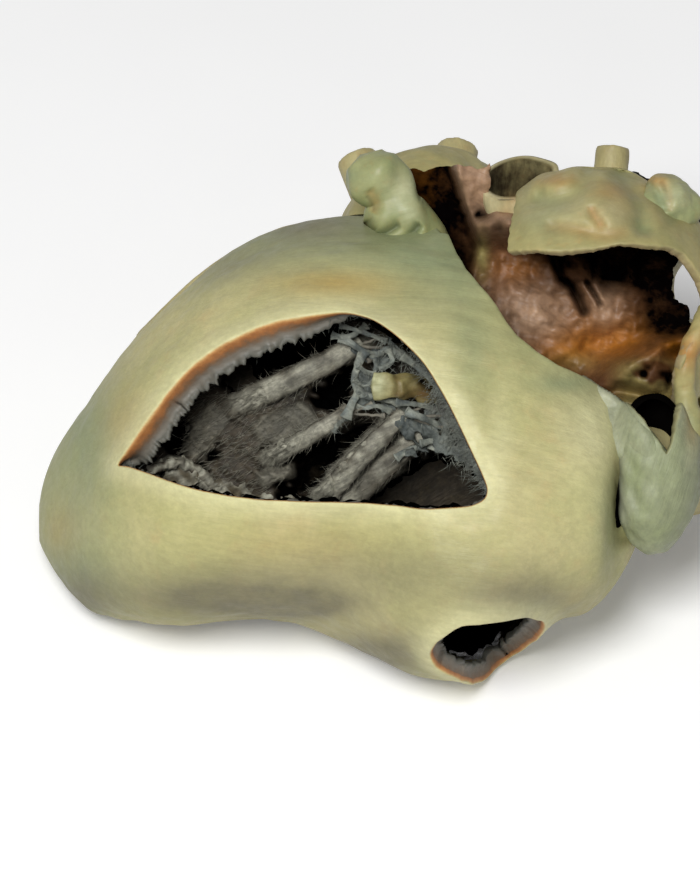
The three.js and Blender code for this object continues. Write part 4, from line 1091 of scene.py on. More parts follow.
def bowl_height(x, q):
    """Height p of the right atrium's inner surface: a floor with a ridge, clefts, a cave and a shelf."""
    px, py = in_photo(x, q)
    flat = at(x, q, 0)
    p = 16.5 + 0.7 * ripple(flat, 7, 71) + 0.25 * ripple(flat, 2.6, 72)
    p = p - 3.4 * crevice(px, py)
    wall = (1 - crevice(px, py)) * (1 - step(py, 222, 256)) * (1 - step(px, 520, 560))
    p = p + 6.5 * wall
    for here_x, here_y, wide, high, rise in FLOOR_SWELLS:
        p = p + rise * bell(px, here_x, wide) * bell(py, here_y, high)
    ridge, along = beside(px, py, FLOOR_RIDGE)
    p = p + 3.2 * bell(ridge, 0, 12) * (1 - 0.5 * step(along, 0.7, 1))
    cleft, _ = beside(px, py, CLEFT)
    second, _ = beside(px, py, SECOND_CLEFT)
    p = p - 3.6 * bell(cleft, 0, 4.2) - 1.8 * bell(second, 0, 2.6)
    p = p - 3.5 * bell(px, 618, 22) * (1 - step(py, 262, 300))
    p = p + 2.4 * step(px, 636, 668) * (1 - step(py, 318, 340))
    shelf, _ = beside(px, py, FLOOR_SHELF)
    p = p + 9 * bell(shelf, 0, 11) * step(px, 575, 640)
    p = p + 3 * step(py, 352, 392) * step(px, 560, 600)
    shelf = bell(px, 652, 32) * bell(py, 372, 21)
    pits = auricle_pits(px, py, flat)
    band, _ = beside(px, py, MOUTH_BAND)
    p = p * (1 - shelf) + 29.0 * shelf - 2.2 * bell(px, 655, 19) * bell(py, 372, 10) - 1.6 * pits
    p = p + 1.3 * bell(band, 0, 6) * step(px, 606, 622)
    mouth = step(py - np.interp(px, [606, 640, 676], [388, 395, 409]), 0, 10) * step(px, 606, 626)
    return p * (1 - mouth) + 26.3 * mouth


def bowl_patch():
    """The floor: bowl_height over an oval and the ways to vein and auricle, less the vein's torn hole."""
    hole = spline(seen(*VEIN_HOLE), 70, True)

    def keep(x, q):
        """Positive on the floor."""
        (cx, cq, _), (hx, hq, _) = RIGHT_ATRIUM
        oval = (1 - np.hypot((x - cx) / (hx + 1.5), (q - cq) / (hq - 0.6))) * 15
        gap = np.minimum.reduce([x - 1.5, 20 - x, q - 38, 58.4 - q + 0.4 * ripple(at(x, q, 0), 3, 76)])
        mouth = np.minimum.reduce([x - 34, 44 - x, q - 12, 30 - q])
        vein = np.where(q > 50.5, np.hypot(x - 20.3, bowl_height(x, q) - 20.4) - 5.3, 9)
        torn = outside(x, q, hole) + 0.15 * ripple(at(x, q, 0), 1.5, 75)
        return np.minimum.reduce([torn, vein, np.maximum.reduce([oval, gap, mouth])])

    uv, faces, _, _ = cut_grid(np.arange(1, 51, 0.26), np.arange(12, 60, 0.26), keep)
    x, q = uv.T
    points = at(x, q, bowl_height(x, q))
    near = clear_of_ventricles(points, top=0.4)
    near = near + 3.5 * bell(in_photo(x, q)[0], 520, 60)
    faces = [f[::-1] for f in faces if min(near[i] for i in f) > -2.2]
    return Patch(points, faces, bowl_tones(x, q))


def bowl_tones(x, q):
    """Tones of the floor: painted shade in the gap by the ventricles, the clefts, the far right and under the
    roof, pale and green bands, then the dabs, and painted shade in the recess and the pits.
    """
    px, py = in_photo(x, q)
    gap = crevice(px, py)
    cleft, _ = beside(px, py, CLEFT)
    second, _ = beside(px, py, SECOND_CLEFT)
    lines = bell(cleft, 0, 4) + 0.8 * bell(second, 0, 2.4)
    right = 0.8 * step(px, 612, 655) * (1 - step(py, 322, 345))
    roof = 0.5 * (1 - step(py, 250, 272)) * step(px, 500, 530)
    # Painted shade in the gap, the clefts, the far right of the floor and under the roof
    patch = Patch(at(x, q, 20), [], {
        "dark": 0.8 * gap + 0.85 * lines + 0.85 * right + roof,
        "warm": 0.6 * gap * bell(px, 424, 22),
        "pale": 0.8 * (1 - gap) * (1 - step(py, 214, 250)) * (1 - step(px, 515, 540)),
        "green": 0.7 * step(py, 352, 372) * step(px, 600, 630) * (1 - step(py, 404, 412)),
    })
    paint(patch, *FLOOR_DABS)
    # Painted shade in the recess above the auricle's mouth and in its two pits
    recess = step(bell(px, 655, 22) * bell(py, 372, 13) + 0.1 * ripple(at(x, q, 0), 2.5, 78), 0.35, 0.6)
    patch.tones["green"] = patch.tones["green"] * (1 - recess)
    patch.tones["dark"] = patch.tones["dark"] + 0.45 * recess + 1.3 * auricle_pits(px, py, at(x, q, 0))
    return patch.tones


# Materials
class Nodes:
    """Short calls for building a material's node tree."""

    def __init__(self, name):
        self.material = bpy.data.materials.new(name)
        self.material.use_nodes = True
        self.tree = self.material.node_tree
        self.shader = self.tree.nodes["Principled BSDF"]
        self.place = self.make("ShaderNodeTexCoord").outputs["Object"]

    def make(self, kind, **settings):
        """A new node with settings."""
        node = self.tree.nodes.new(kind)
        for k, v in settings.items():
            setattr(node, k, v)
        return node

    def link(self, out, socket):
        """Joins an output to an input."""
        self.tree.links.new(out, socket)

    def vector(self, operation, a, b):
        """A vector operation on two values or sockets."""
        node = self.make("ShaderNodeVectorMath", operation=operation)
        for socket, value in zip(node.inputs, (a, b)):
            if isinstance(value, tuple):
                socket.default_value = value
            else:
                self.link(value, socket)
        return node

    def noise(self, size_mm, detail=3.0, rough=0.55, flow=None, distortion=0.0):
        """Noise, 0 to 1, of features about size_mm wide, drawn out along flow: (x, q, p, how many times)."""
        place = self.place
        if flow:
            way = at(*flow[:3])
            way = tuple((way / np.linalg.norm(way)).tolist())
            along = self.vector("DOT_PRODUCT", place, way).outputs["Value"]
            scaled = self.make("ShaderNodeVectorMath", operation="SCALE")
            scaled.inputs[0].default_value = way
            self.link(self.math("MULTIPLY", along, 1 - 1 / flow[3]), scaled.inputs["Scale"])
            place = self.vector("SUBTRACT", place, scaled.outputs[0]).outputs[0]
        node = self.make("ShaderNodeTexNoise")
        node.inputs["Scale"].default_value = 1000 / size_mm
        node.inputs["Detail"].default_value = detail
        node.inputs["Roughness"].default_value = rough
        node.inputs["Distortion"].default_value = distortion
        self.link(place, node.inputs["Vector"])
        return node.outputs["Fac"]

    def fit(self, value, low, high, to_low=0.0, to_high=1.0):
        """A value mapped from low..high to another range, clamped and smooth."""
        node = self.make("ShaderNodeMapRange", interpolation_type="SMOOTHSTEP")
        for name, number in (("From Min", low), ("From Max", high), ("To Min", to_low), ("To Max", to_high)):
            node.inputs[name].default_value = number
        self.link(value, node.inputs["Value"])
        return node.outputs["Result"]

    def math(self, operation, a, b):
        """An operation on two numbers or sockets."""
        node = self.make("ShaderNodeMath", operation=operation)
        for socket, value in zip(node.inputs, (a, b)):
            if isinstance(value, (int, float)):
                socket.default_value = value
            else:
                self.link(value, socket)
        return node.outputs[0]

    def mix(self, factor, a, b):
        """Colour a where factor is 0 and b where it is 1."""
        node = self.make("ShaderNodeMix", data_type="RGBA")
        sockets = [s for s in node.inputs if s.enabled]
        for socket, value in zip(sockets, (factor, a, b)):
            if isinstance(value, (int, float, tuple)):
                socket.default_value = value
            else:
                self.link(value, socket)
        return next(s for s in node.outputs if s.enabled)

    def tone(self, name):
        """A tone of the mesh."""
        return self.make("ShaderNodeAttribute", attribute_name=name).outputs["Fac"]

    def bump(self, *layers):
        """Bump from (height, strength, depth in mm) layers, coarse first."""
        normal = None
        for height, strength, depth in layers:
            node = self.make("ShaderNodeBump")
            node.inputs["Strength"].default_value = strength
            node.inputs["Distance"].default_value = depth * MM
            self.link(height, node.inputs["Height"])
            if normal is not None:
                self.link(normal, node.inputs["Normal"])
            normal = node.outputs["Normal"]
        self.link(normal, self.shader.inputs["Normal"])


def tissue(name, colours, tones, roughness=(0.42, 0.6), soft=0.0, fibre=0.5, grain=0.35, patch_mm=14,
           fleck=0.25, flow=(1, 0.3, 0, 7), contrast=0.06, mottle=1.0, ramp=None):
    """A dried tissue: two colours in broad patches, flecks of a third, then a mottled colour for each tone.

    fibre and grain are the strengths of the bump along flow and of the fine bump. contrast is how much the
    fibres vary in brightness. ramp colours the tone named cut, from 0 to 1."""
    n = Nodes(name)
    chosen = bpy.context.scene.heart_colours

    def shade_of(c):
        """A colour of the panel by its name, or one given as it looks on a screen."""
        return tuple(getattr(chosen, c)) if isinstance(c, str) else linear(*c)

    colours = [shade_of(c) for c in colours]
    colour = n.mix(n.fit(n.noise(patch_mm, 4, 0.6, distortion=0.4), 0.35, 0.68), colours[0], colours[1])
    flecks = n.math("MULTIPLY", n.fit(n.noise(patch_mm / 4, 5, 0.65), 0.5, 0.75), fleck)
    colour = n.mix(flecks, colour, colours[2])
    streaks = n.noise(0.9, 5, 0.65, flow=flow, distortion=0.15)
    for tone, shade, strength in tones:
        amount = n.tone(tone)
        varied = n.fit(n.math("ADD", n.noise(3.5, 4, 0.6), n.math("MULTIPLY", streaks, 0.5)), 0.35, 1.0,
                       1 - 0.45 * mottle, 1 + 0.2 * mottle)
        amount = n.math("MULTIPLY", n.math("MULTIPLY", amount, varied), strength)
        colour = n.mix(n.math("MINIMUM", amount, 1.0), colour, shade_of(shade))
    if ramp:
        colours_of_cut = n.make("ShaderNodeValToRGB")
        while len(colours_of_cut.color_ramp.elements) < len(ramp):
            colours_of_cut.color_ramp.elements.new(0.5)
        for element, (position, shade) in zip(colours_of_cut.color_ramp.elements, ramp):
            element.position = position
            element.color = shade_of(shade)
        wander = n.math("MULTIPLY", n.math("SUBTRACT", n.noise(1.6, 5, 0.7), 0.5), 0.35)
        n.link(n.math("ADD", n.tone("cut"), wander), colours_of_cut.inputs["Fac"])
        colour = n.mix(n.fit(n.tone("cut"), 0.02, 0.14), colour, colours_of_cut.outputs["Color"])
    fine = n.fit(n.noise(0.9, 5, 0.7), 0.3, 0.75, 1 - contrast, 1 + contrast)
    long = n.fit(streaks, 0.3, 0.7, 1 - contrast, 1 + contrast)
    value = n.make("ShaderNodeHueSaturation")
    n.link(n.math("MULTIPLY", fine, long), value.inputs["Value"])
    n.link(colour, value.inputs["Color"])
    n.link(value.outputs["Color"], n.shader.inputs["Base Color"])
    n.link(n.fit(n.noise(2.2, 4, 0.6), 0.3, 0.7, *roughness), n.shader.inputs["Roughness"])
    n.shader.inputs["Specular IOR Level"].default_value = 0.3
    # No gloss where shade is painted
    n.link(n.fit(n.tone("dark"), 0.1, 0.7, 0.32, 0.0), n.shader.inputs["Specular IOR Level"])
    if soft:
        n.shader.inputs["Subsurface Weight"].default_value = soft
        n.shader.inputs["Subsurface Radius"].default_value = (1.0, 0.7, 0.4)
        n.shader.inputs["Subsurface Scale"].default_value = 0.0022
    fibres = n.noise(0.45, 4, 0.65, flow=flow, distortion=0.15)
    n.bump((n.noise(5, 3, 0.5), 0.5, 0.35), (fibres, fibre, 0.2), (n.noise(0.35, 4, 0.7), grain, 0.06))
    return n.material


SKIN_CUT = (
    (0.0, (196, 182, 130)), (0.1, (196, 168, 112)), (0.2, "cut_muscle"),
    (0.34, (162, 106, 60)), (0.47, (120, 94, 70)), (0.62, "torn_muscle"), (1.0, (88, 88, 80)),
)
MUSCLE_FIBRES = (0.88, 0.47, 0.1, 9)
# The tissues: a colour in quotes is one of the panel's, and the others are given as they look on a screen. In
# each, the colour of the darkening tone is painted shade.
TISSUES = {
    "epicardium": dict(
        colours=("skin", (174, 170, 116), (190, 164, 114)),
        tones=(("green", "skin_green", 0.95), ("warm", (166, 140, 78), 0.85),
         ("blue", "skin_shade", 0.9), ("pale", "skin_highlight", 0.75), ("dark", (40, 34, 20), 0.9)),
        roughness=(0.42, 0.58), soft=0.05, fibre=0.42, grain=0.26, patch_mm=20, fleck=0.35,
        flow=(1, -0.12, 0, 10), contrast=0.06, mottle=0.35, ramp=SKIN_CUT,
    ),
    # The near-black colour is painted shade in the hollows, and the crest colour is partly painted highlight
    # on the crests
    "inside": dict(
        colours=("chamber", (42, 38, 30), (86, 76, 52)),
        tones=(("warm", (86, 58, 32), 0.8), ("green", (90, 82, 50), 0.8), ("pale", "crest", 1.0),
         ("dark", (2, 2, 2), 1.5)),
        roughness=(0.55, 0.8), fibre=1.0, grain=0.5, patch_mm=9, fleck=0.4, flow=MUSCLE_FIBRES, contrast=0.3,
    ),
    "net": dict(
        colours=("net", (72, 78, 76), (134, 134, 118)),
        tones=(("warm", (112, 84, 50), 0.8), ("pale", (160, 162, 146), 0.8), ("dark", (8, 8, 8), 1.0)),
        roughness=(0.5, 0.75), fibre=1.0, grain=0.6, patch_mm=4, fleck=0.5, flow=(0.8, -0.6, 0, 6),
        contrast=0.28,
    ),
    "cusp": dict(
        colours=("cusp", (128, 118, 72), (116, 92, 52)),
        tones=(("warm", (92, 70, 38), 1.0), ("pale", (176, 178, 140), 0.8), ("dark", (14, 11, 8), 1.0)),
        roughness=(0.4, 0.6), fibre=0.6, grain=0.4, patch_mm=4, fleck=0.5, flow=(1, 0, 0, 5), contrast=0.12,
    ),
    "chord": dict(
        colours=("chord", (98, 94, 84), (150, 146, 128)),
        tones=(("dark", (30, 28, 26), 0.9),),
        roughness=(0.45, 0.7), fibre=0.9, grain=0.5, patch_mm=4, flow=MUSCLE_FIBRES, contrast=0.15,
    ),
    "atrium_inside": dict(
        colours=("atrium_inside", (84, 54, 34), (140, 106, 70)),
        tones=(("warm", "atrium_orange", 1.0), ("pale", (168, 136, 108), 1.0),
         ("green", (142, 134, 80), 0.9), ("dark", (5, 3, 3), 1.0)),
        roughness=(0.35, 0.6), soft=0.03, fibre=0.6, grain=0.35, patch_mm=6, fleck=0.4,
        flow=(0.8, -0.4, 0, 5), contrast=0.1, mottle=0.5,
    ),
    "atrium": dict(
        colours=("atrium", (146, 140, 92), (172, 142, 86)),
        tones=(("warm", (166, 106, 40), 0.9), ("pale", (190, 180, 142), 0.8),
         ("green", (128, 136, 96), 0.8), ("cut", (150, 132, 104), 0.8), ("dark", (8, 6, 5), 1.0)),
        roughness=(0.4, 0.6), soft=0.05, fibre=0.3, grain=0.3, patch_mm=7, fleck=0.4, contrast=0.05,
    ),
    "auricle": dict(
        colours=("auricle", (130, 136, 106), (158, 156, 126)),
        tones=(("warm", (176, 126, 58), 0.8), ("pale", (190, 190, 168), 0.9),
         ("green", (132, 140, 100), 0.8), ("cut", (166, 154, 100), 0.8), ("dark", (6, 5, 4), 1.8)),
        roughness=(0.4, 0.6), soft=0.05, fibre=0.6, grain=0.3, patch_mm=7, fleck=0.35, flow=(0.35, 1, 0, 9),
        contrast=0.09,
    ),
    "vessel": dict(
        colours=("vessel", (152, 142, 98), (168, 138, 92)),
        tones=(("warm", (164, 112, 60), 0.8), ("pale", (198, 188, 148), 0.8),
         ("green", (140, 146, 106), 0.8), ("cut", (176, 156, 118), 0.7), ("dark", (30, 20, 14), 1.0)),
        roughness=(0.38, 0.58), soft=0.05, fibre=0.45, grain=0.35, patch_mm=8, fleck=0.35,
        flow=(0.2, 1, 0, 5), contrast=0.06,
    ),
    "fat": dict(
        colours=("fat", (134, 142, 96), (158, 134, 80)),
        tones=(("warm", (176, 118, 46), 0.9), ("pale", (196, 196, 160), 0.8), ("green", (122, 134, 100), 0.9),
         ("dark", (34, 24, 14), 0.95)),
        roughness=(0.36, 0.52), soft=0.08, fibre=0.2, grain=0.25, patch_mm=6, fleck=0.35, contrast=0.05,
    ),
}


def material(name):
    """A tissue's material, made when it is first asked for."""
    return bpy.data.materials.get("heart_" + name) or tissue("heart_" + name, **TISSUES[name])


# Pieces
def finish_shell(obj, thickness_mm, offset=0.0):
    """Gives a thin sheet its thickness."""
    solid = obj.modifiers.new("thickness", "SOLIDIFY")
    solid.thickness = thickness_mm * MM
    solid.offset = offset
    return obj


def ridge(way, radius, seed, flatten=0.8, below=0.75):
    """A muscle ridge through (photo x, photo y, height over the septum), with a painted highlight along the
    crest on the side that faces up and painted shade on the side that faces down.
    """
    sides, rows = 28, 110
    patch = strand_in_view(way, lambda t: 1.25 * radius(t), seed, sides=sides, rows=rows, rough=0.07,
                           size=2.2, flatten=0.75 * flatten)
    up = np.tile(np.cos(np.linspace(0, 2 * math.pi, sides, endpoint=False)), rows)
    up = np.append(up, [0.5, 0.5])
    # Painted highlight on the side facing up, and painted shade, of strength below, on the side facing down
    patch.tones["pale"] = step(up, 0.1, 1.0) * (0.75 + 0.25 * ripple(patch.points, 3, seed + 1))
    patch.tones["dark"] = below * (1 - step(up, -0.4, 0.5))
    # Fuzz combed down from the crest to both sides
    rng = np.random.default_rng(seed + 400)
    count = 620
    chosen = rng.choice(np.flatnonzero(up > -0.1), count, replace=False)
    ways = at(-0.62 + rng.normal(0, 0.3, count), rng.normal(-0.1, 0.75, count), -0.5)
    ways = ways * rng.uniform(0.3, 1.6, count)[:, None]
    return patch.add(hairs(patch.points[chosen], ways, 0.055, {"pale": 0.62}, seed + 401))


def hairs(starts, ways, radius, tone, seed):
    """Fine tapered fibres, one from each start along its way: three-sided spikes with a slight bend."""
    rng = np.random.default_rng(seed)
    starts, ways = np.asarray(starts, float), np.asarray(ways, float)
    count, rows, sides = len(starts), 5, 3
    t = np.linspace(0, 1, rows)
    bend = rng.normal(0, 0.16, (count, 3)) * np.linalg.norm(ways, axis=1, keepdims=True)
    centre = starts[:, None] + t[:, None] * ways[:, None] + (t * t)[:, None] * bend[:, None]
    first = np.cross(ways, P_AXIS + 0.01)
    first /= np.maximum(np.linalg.norm(first, axis=1, keepdims=True), 1e-9)
    second = np.cross(ways, first)
    second /= np.maximum(np.linalg.norm(second, axis=1, keepdims=True), 1e-9)
    a = np.linspace(0, 2 * math.pi, sides, endpoint=False)
    out = np.cos(a)[:, None] * first[:, None] + np.sin(a)[:, None] * second[:, None]
    size = radius * (1 - 0.85 * t)
    points = centre[:, :, None] + out[:, None] * size[None, :, None, None]
    one = grid_faces(rows, sides, True).reshape(-1, 4)
    last = (rows - 1) * sides
    ends = np.array([[2, 1, 0], [last, last + 1, last + 2]])
    base = (np.arange(count) * rows * sides)[:, None, None]
    faces = (one + base).reshape(-1, 4).tolist() + (ends + base).reshape(-1, 3).tolist()
    points = points.reshape(-1, 3)
    return Patch(points, faces, {k: np.full(len(points), v) for k, v in tone.items()})


def window_fringe():
    """Torn fibres along the inner edge of the large window's cut wall."""
    rng = np.random.default_rng(301)
    loop = spline(RIGHT_WINDOW, 4600, True)
    x, q = loop.T
    around = np.roll(loop, -1, 0) - loop
    inwards = np.stack([around[:, 1], -around[:, 0]], 1)
    inwards /= np.linalg.norm(inwards, axis=1, keepdims=True)
    if outside(*(loop[:1] + inwards[:1]).T, loop)[0] > 0:
        inwards = -inwards
    angle = place_on_form(x, q)
    _, _, p = split(round_form(x, angle, outer_radius(x, angle)))
    facing = upper_left(x, q)
    right = step(x, 2, 8) * step(q, 10, 13)
    chosen = rng.random(len(x)) < np.maximum(facing, right)
    deep = 3.2 + 0.5 * facing - facing * rng.uniform(0, 1.9, len(x)) + rng.uniform(-0.5, 0.3, len(x))
    inset = facing * (0.4 + 0.55 * deep) + 0.1 + rng.uniform(-0.1, 0.3, len(x))
    starts = at(x + inwards[:, 0] * inset, q + inwards[:, 1] * inset, p - deep)
    long = in_mm("fibre_length") * (0.25 + 0.75 * rng.random(len(x)) ** 2) * (1 + 0.8 * right)
    spread = rng.normal(0, 0.9, (2, len(x)))
    ways = at(inwards[:, 0] + spread[0], inwards[:, 1] + spread[1], -0.3) * long[:, None]
    # The fibres are painted a little into shade
    return hairs(starts[chosen], ways[chosen], in_mm("fibre_radius"), {"dark": 0.2, "pale": 0.3}, 302)


NET_STRANDS = (
    (((340, 338), (352, 344), (364, 352), (376, 355), (388, 350), (402, 356)), 0.55, 6.0),
    (((364, 352), (358, 366), (354, 380), (357, 392), (352, 404), (346, 418)), 0.62, 5.4),
    (((358, 366), (366, 372), (375, 374)), 0.4, 5.8),
    (((354, 380), (364, 387), (373, 383)), 0.38, 5.4),
    (((357, 392), (370, 397), (384, 399), (396, 403), (406, 412)), 0.6, 5.8),
    (((373, 383), (378, 391), (370, 397)), 0.36, 5.8),
    (((406, 412), (420, 417), (436, 424), (452, 433), (466, 446)), 0.55, 8.0),
    (((396, 403), (412, 404), (430, 408), (447, 420)), 0.45, 7.6),
    (((388, 350), (392, 362), (380, 370)), 0.4, 6.4),
    (((402, 356), (418, 368), (432, 382), (446, 400), (455, 422)), 0.5, 9.0),
    (((346, 418), (338, 424), (334, 432)), 0.35, 4.4),
    (((352, 404), (364, 408), (378, 406), (390, 412)), 0.4, 5.0),
    (((366, 326), (356, 334), (344, 338), (332, 336)), 0.45, 6.4),
    (((340, 326), (354, 330), (372, 336), (386, 342)), 0.4, 7.0),
    (((440, 448), (424, 446), (408, 450), (396, 458)), 0.5, 6.0),
    (((466, 446), (452, 442), (438, 440), (420, 444)), 0.45, 7.0),
    (((470, 468), (462, 456), (448, 448)), 0.5, 8.2),
)


FRAYED_EDGE = ((392, 338), (412, 356), (430, 378), (444, 402), (456, 428), (470, 462))


NET_OUTLINE = (
    (350, 346), (366, 350), (390, 346), (392, 366), (374, 372), (378, 396), (400, 400), (404, 412),
    (386, 410), (362, 406), (348, 412), (354, 396), (352, 380), (356, 362),
)


def torn_net():
    """A net of torn strands and scraps of membrane between the muscles and the tricuspid valve."""
    net = lace(
        NET_OUTLINE,
        lambda x, q: septum_face(x, q) + 5.0, 101, rag=0.3, holes=0.5, hole_size=2.4,
    )
    # The net is painted a little into shade all over
    net.tones["dark"] = np.full(len(net.points), 0.3)
    for k, (path, radius, height) in enumerate(NET_STRANDS):
        way = [(x, y, height + 0.5 * math.sin(1.7 * i + k)) for i, (x, y) in enumerate(path)]
        strand = strand_in_view(way, lambda t: radius * (0.85 + 0.75 * (2 * t - 1) ** 4), 310 + k, sides=16,
                                rows=16 * len(path), rough=0.05, size=1.6, flatten=0.4)
        strand.tones["pale"] = np.clip(0.3 + 0.3 * ripple(strand.points, 2.6, 340 + k), 0, 1)
        net.add(strand)
    rng = np.random.default_rng(360)
    loop = np.concatenate([spline(seen(*path), 26) for path, _, _ in NET_STRANDS])
    heights = np.concatenate([np.full(26, h) for _, _, h in NET_STRANDS])
    starts = on_septum(loop[:, 0], loop[:, 1], heights + rng.uniform(-0.3, 0.3, len(loop)))
    ways = at(rng.normal(0, 0.7, len(loop)), rng.normal(-0.2, 0.7, len(loop)), rng.normal(0, 0.3, len(loop)))
    net.add(hairs(starts, ways, 0.07, {"pale": 0.4}, 361))
    # Frayed fibres over the membranes beside the window's right edge
    count = 900
    way = spline(seen(*FRAYED_EDGE), 60)
    x, q = way[rng.integers(0, 60, count)].T + rng.normal(0, 1.3, (2, count))
    starts = on_septum(x, q, 6.6 + 3.4 * step(x, 3, 13) + rng.uniform(-0.4, 0.5, count))
    ways = at(-0.4 + rng.normal(0, 0.5, count), -0.7 + rng.normal(0, 0.4, count), 0)
    ways = ways * rng.uniform(0.4, 1.7, count)[:, None]
    shown = outside(x, q, RIGHT_WINDOW) < -0.4
    return net.add(hairs(starts[shown], ways[shown], 0.06, {"pale": 0.5}, 362))


FLANK_WAY = ((330, 512, 0.4), (352, 493, 1.4), (376, 472, 2.6), (396, 455, 3.4), (412, 442, 4.2))
BRANCH_WAY = ((388, 460, 1.0), (400, 447, 3.8), (416, 437, 4.8), (434, 430, 5.4), (456, 430, 6))
BAND_WAY = ((150, 470, 7), (166, 466, 5), (180, 463, 3.2), (196, 470, 1.4), (214, 486, 0.2))
SCRAPS_OUTLINE = (
    (146, 470), (160, 462), (182, 458), (196, 468), (222, 480), (262, 492), (300, 500), (240, 500),
    (200, 492), (168, 482),
)


def build_muscles():
    """The papillary muscles as ridges on the septum, and the band at the chamber's tip."""
    muscles = {
        "right_papillary_cranial": (
            [(308, 512, 0.6), (324, 497, 1.8), (346, 474, 3.4), (370, 448, 4.6), (392, 426, 5.2),
             (404, 414, 5.4)],
            lambda t: 1.55 - 0.6 * t),
        "right_papillary_middle": (
            [(246, 474, -3.6), (266, 461, -0.8), (284, 450, 1.1), (306, 438, 2.1), (326, 426, 2.9),
             (350, 411, 3.6)],
            lambda t: 0.6 + 0.65 * step(t, 0, 0.35) - 0.25 * t),
        "right_papillary_caudal": (
            [(190, 432, -4.4), (220, 416, -2.2), (250, 400, 0.2), (285, 383, 1.5), (318, 367, 2.5),
             (346, 352, 3.2), (360, 343, 3.6)],
            lambda t: 1.0 + 0.9 * step(t, 0, 0.3) - 0.7 * t),
    }
    for k, (name, (way, radius)) in enumerate(muscles.items()):
        patch = ridge(way, radius, 90 + 2 * k)
        if k == 0:
            flank = ridge(FLANK_WAY,
                          lambda t: 2.1 - 0.9 * t, 97, flatten=0.75, below=0.5)
            flank.tones["pale"] *= 0.6
            patch.add(flank)
            patch.add(ridge(BRANCH_WAY,
                            lambda t: 0.95 - 0.3 * t, 98, flatten=0.7, below=0.5))
        piece(name, patch, "inside", (name,))
    band = strand_in_view(BAND_WAY,
                          lambda t: 0.6 + 0.3 * t, 131, sides=16, rows=60, rough=0.2, size=1.2)
    band.tones["pale"] = np.clip(0.6 + 0.4 * ripple(band.points, 2, 132), 0, 1)
    scraps = lace(SCRAPS_OUTLINE, lambda x, q: septum_face(x, q) + 3.0 * (1 - step(x, -32, -24)) + 0.6, 133,
                  rag=0.35, holes=0.45, hole_size=2.2)
    scraps.tones["pale"] = np.clip(0.3 + 0.5 * ripple(scraps.points, 2.5, 134), 0, 1)
    scraps.tones["green"] = np.full(len(scraps.points), 0.3)
    piece("septomarginal_band", band.add(scraps), "inside", ("septomarginal_band",))


SKIRT_OUTLINE = (
    (384, 336), (404, 350), (424, 370), (440, 392), (453, 416), (464, 438), (480, 476), (470, 470),
    (452, 456), (428, 452), (408, 456), (414, 444), (400, 434), (398, 420), (420, 410), (436, 404),
    (438, 394), (420, 372), (398, 358),
)
# The darkening dabs and crease are painted shade in the folds of the skirt and the cusp
SKIRT_DABS = (
    ("dark", 420, 440, 16, 8, 0.9), ("dark", 445, 402, 8, 10, 0.6), ("pale", 420, 360, 20, 16, 0.8),
    ("pale", 455, 430, 12, 18, 0.5), ("warm", 440, 400, 10, 12, 0.5),
)
CUSP_WAY = ((374, 386), (384, 386), (396, 386), (410, 387), (426, 391), (440, 395), (450, 400))
CUSP_DABS = (
    ("pale", 376, 384, 9, 14, 1.2), ("warm", 425, 392, 22, 14, 0.8), ("dark", 448, 400, 12, 10, 0.9),
    ("dark", 420, 378, 14, 5, 0.5), ("warm", 404, 398, 16, 6, 0.5),
)
CUSP_CREASES = (
    ("warm", 0.4, 0.5, 0.5, ((394, 374), (398, 386), (396, 398))),
    ("dark", 0.7, 0.6, 0.7, ((418, 380), (430, 388), (444, 392))),
)


def build_membranes():
    """The torn net, the parietal cusp's frayed sheet, the septal cusp and the window's fringe."""
    piece("torn_net", torn_net(), "net")
    skirt = lace(
        SKIRT_OUTLINE,
        lambda x, q: septum_face(x, q) + 6 + 3.5 * step(x, 3, 13), 111, rag=0.35, holes=0.34, hole_size=2.0,
    )
    paint(skirt, *SKIRT_DABS)
    finish_shell(piece("parietal_cusp_sheet", skirt, "net", ("tricuspid_parietal_cusp",)),
                 in_mm("membrane"))
    x, q = seen(*CUSP_WAY).T
    cusp = tube(on_septum(x, q, np.array([7.0, 7.6, 7.6, 7.2, 6.8, 6.6, 6.4])),
                lambda t: 2.0 - 0.3 * t, 48, 90, flatten=0.55, rough=0.3, size=2.4, seed=121)
    paint(cusp, *CUSP_DABS)
    crease(cusp, *CUSP_CREASES)
    piece("septal_cusp_block", cusp, "cusp", ("tricuspid_septal_cusp",))
    piece("window_fringe", window_fringe(), "net")


def build_chords():
    """Fans of thin chords, from each muscle's tip to the membranes."""
    fans = {
        "right_chords_cranial": ((402, 416, 5.4), [(432, 402, 7), (446, 416, 8), (458, 432, 8.5)]),
        "right_chords_middle": ((348, 414, 3.4), [(372, 404, 5), (384, 416, 5), (362, 392, 5)]),
        "right_chords_caudal": ((358, 346, 3.4), [(380, 338, 6), (394, 350, 6), (370, 362, 5.4)]),
    }
    for k, (name, (start, ends)) in enumerate(fans.items()):
        patch = Patch(np.zeros((0, 3)), [])
        for end in ends:
            middle = [(a + b) / 2 for a, b in zip(start, end)]
            middle[2] += 0.6
            chord = strand_in_view([start, middle, end], lambda t: 0.22 + 0.3 * (2 * t - 1) ** 4, 140 + k,
                                   sides=10, rows=24, rough=0.08, size=1.0)
            patch.add(chord)
        piece(name, patch, "chord", (name,))


# Valve openings: (q, p, half width, half height)
VALVES = ((30, 22.5, 7.2, 5.2), (33, 2, 7.2, 5.7), (18.5, 5, 5.2, 5.2), (12.5, 26, 6, 6))


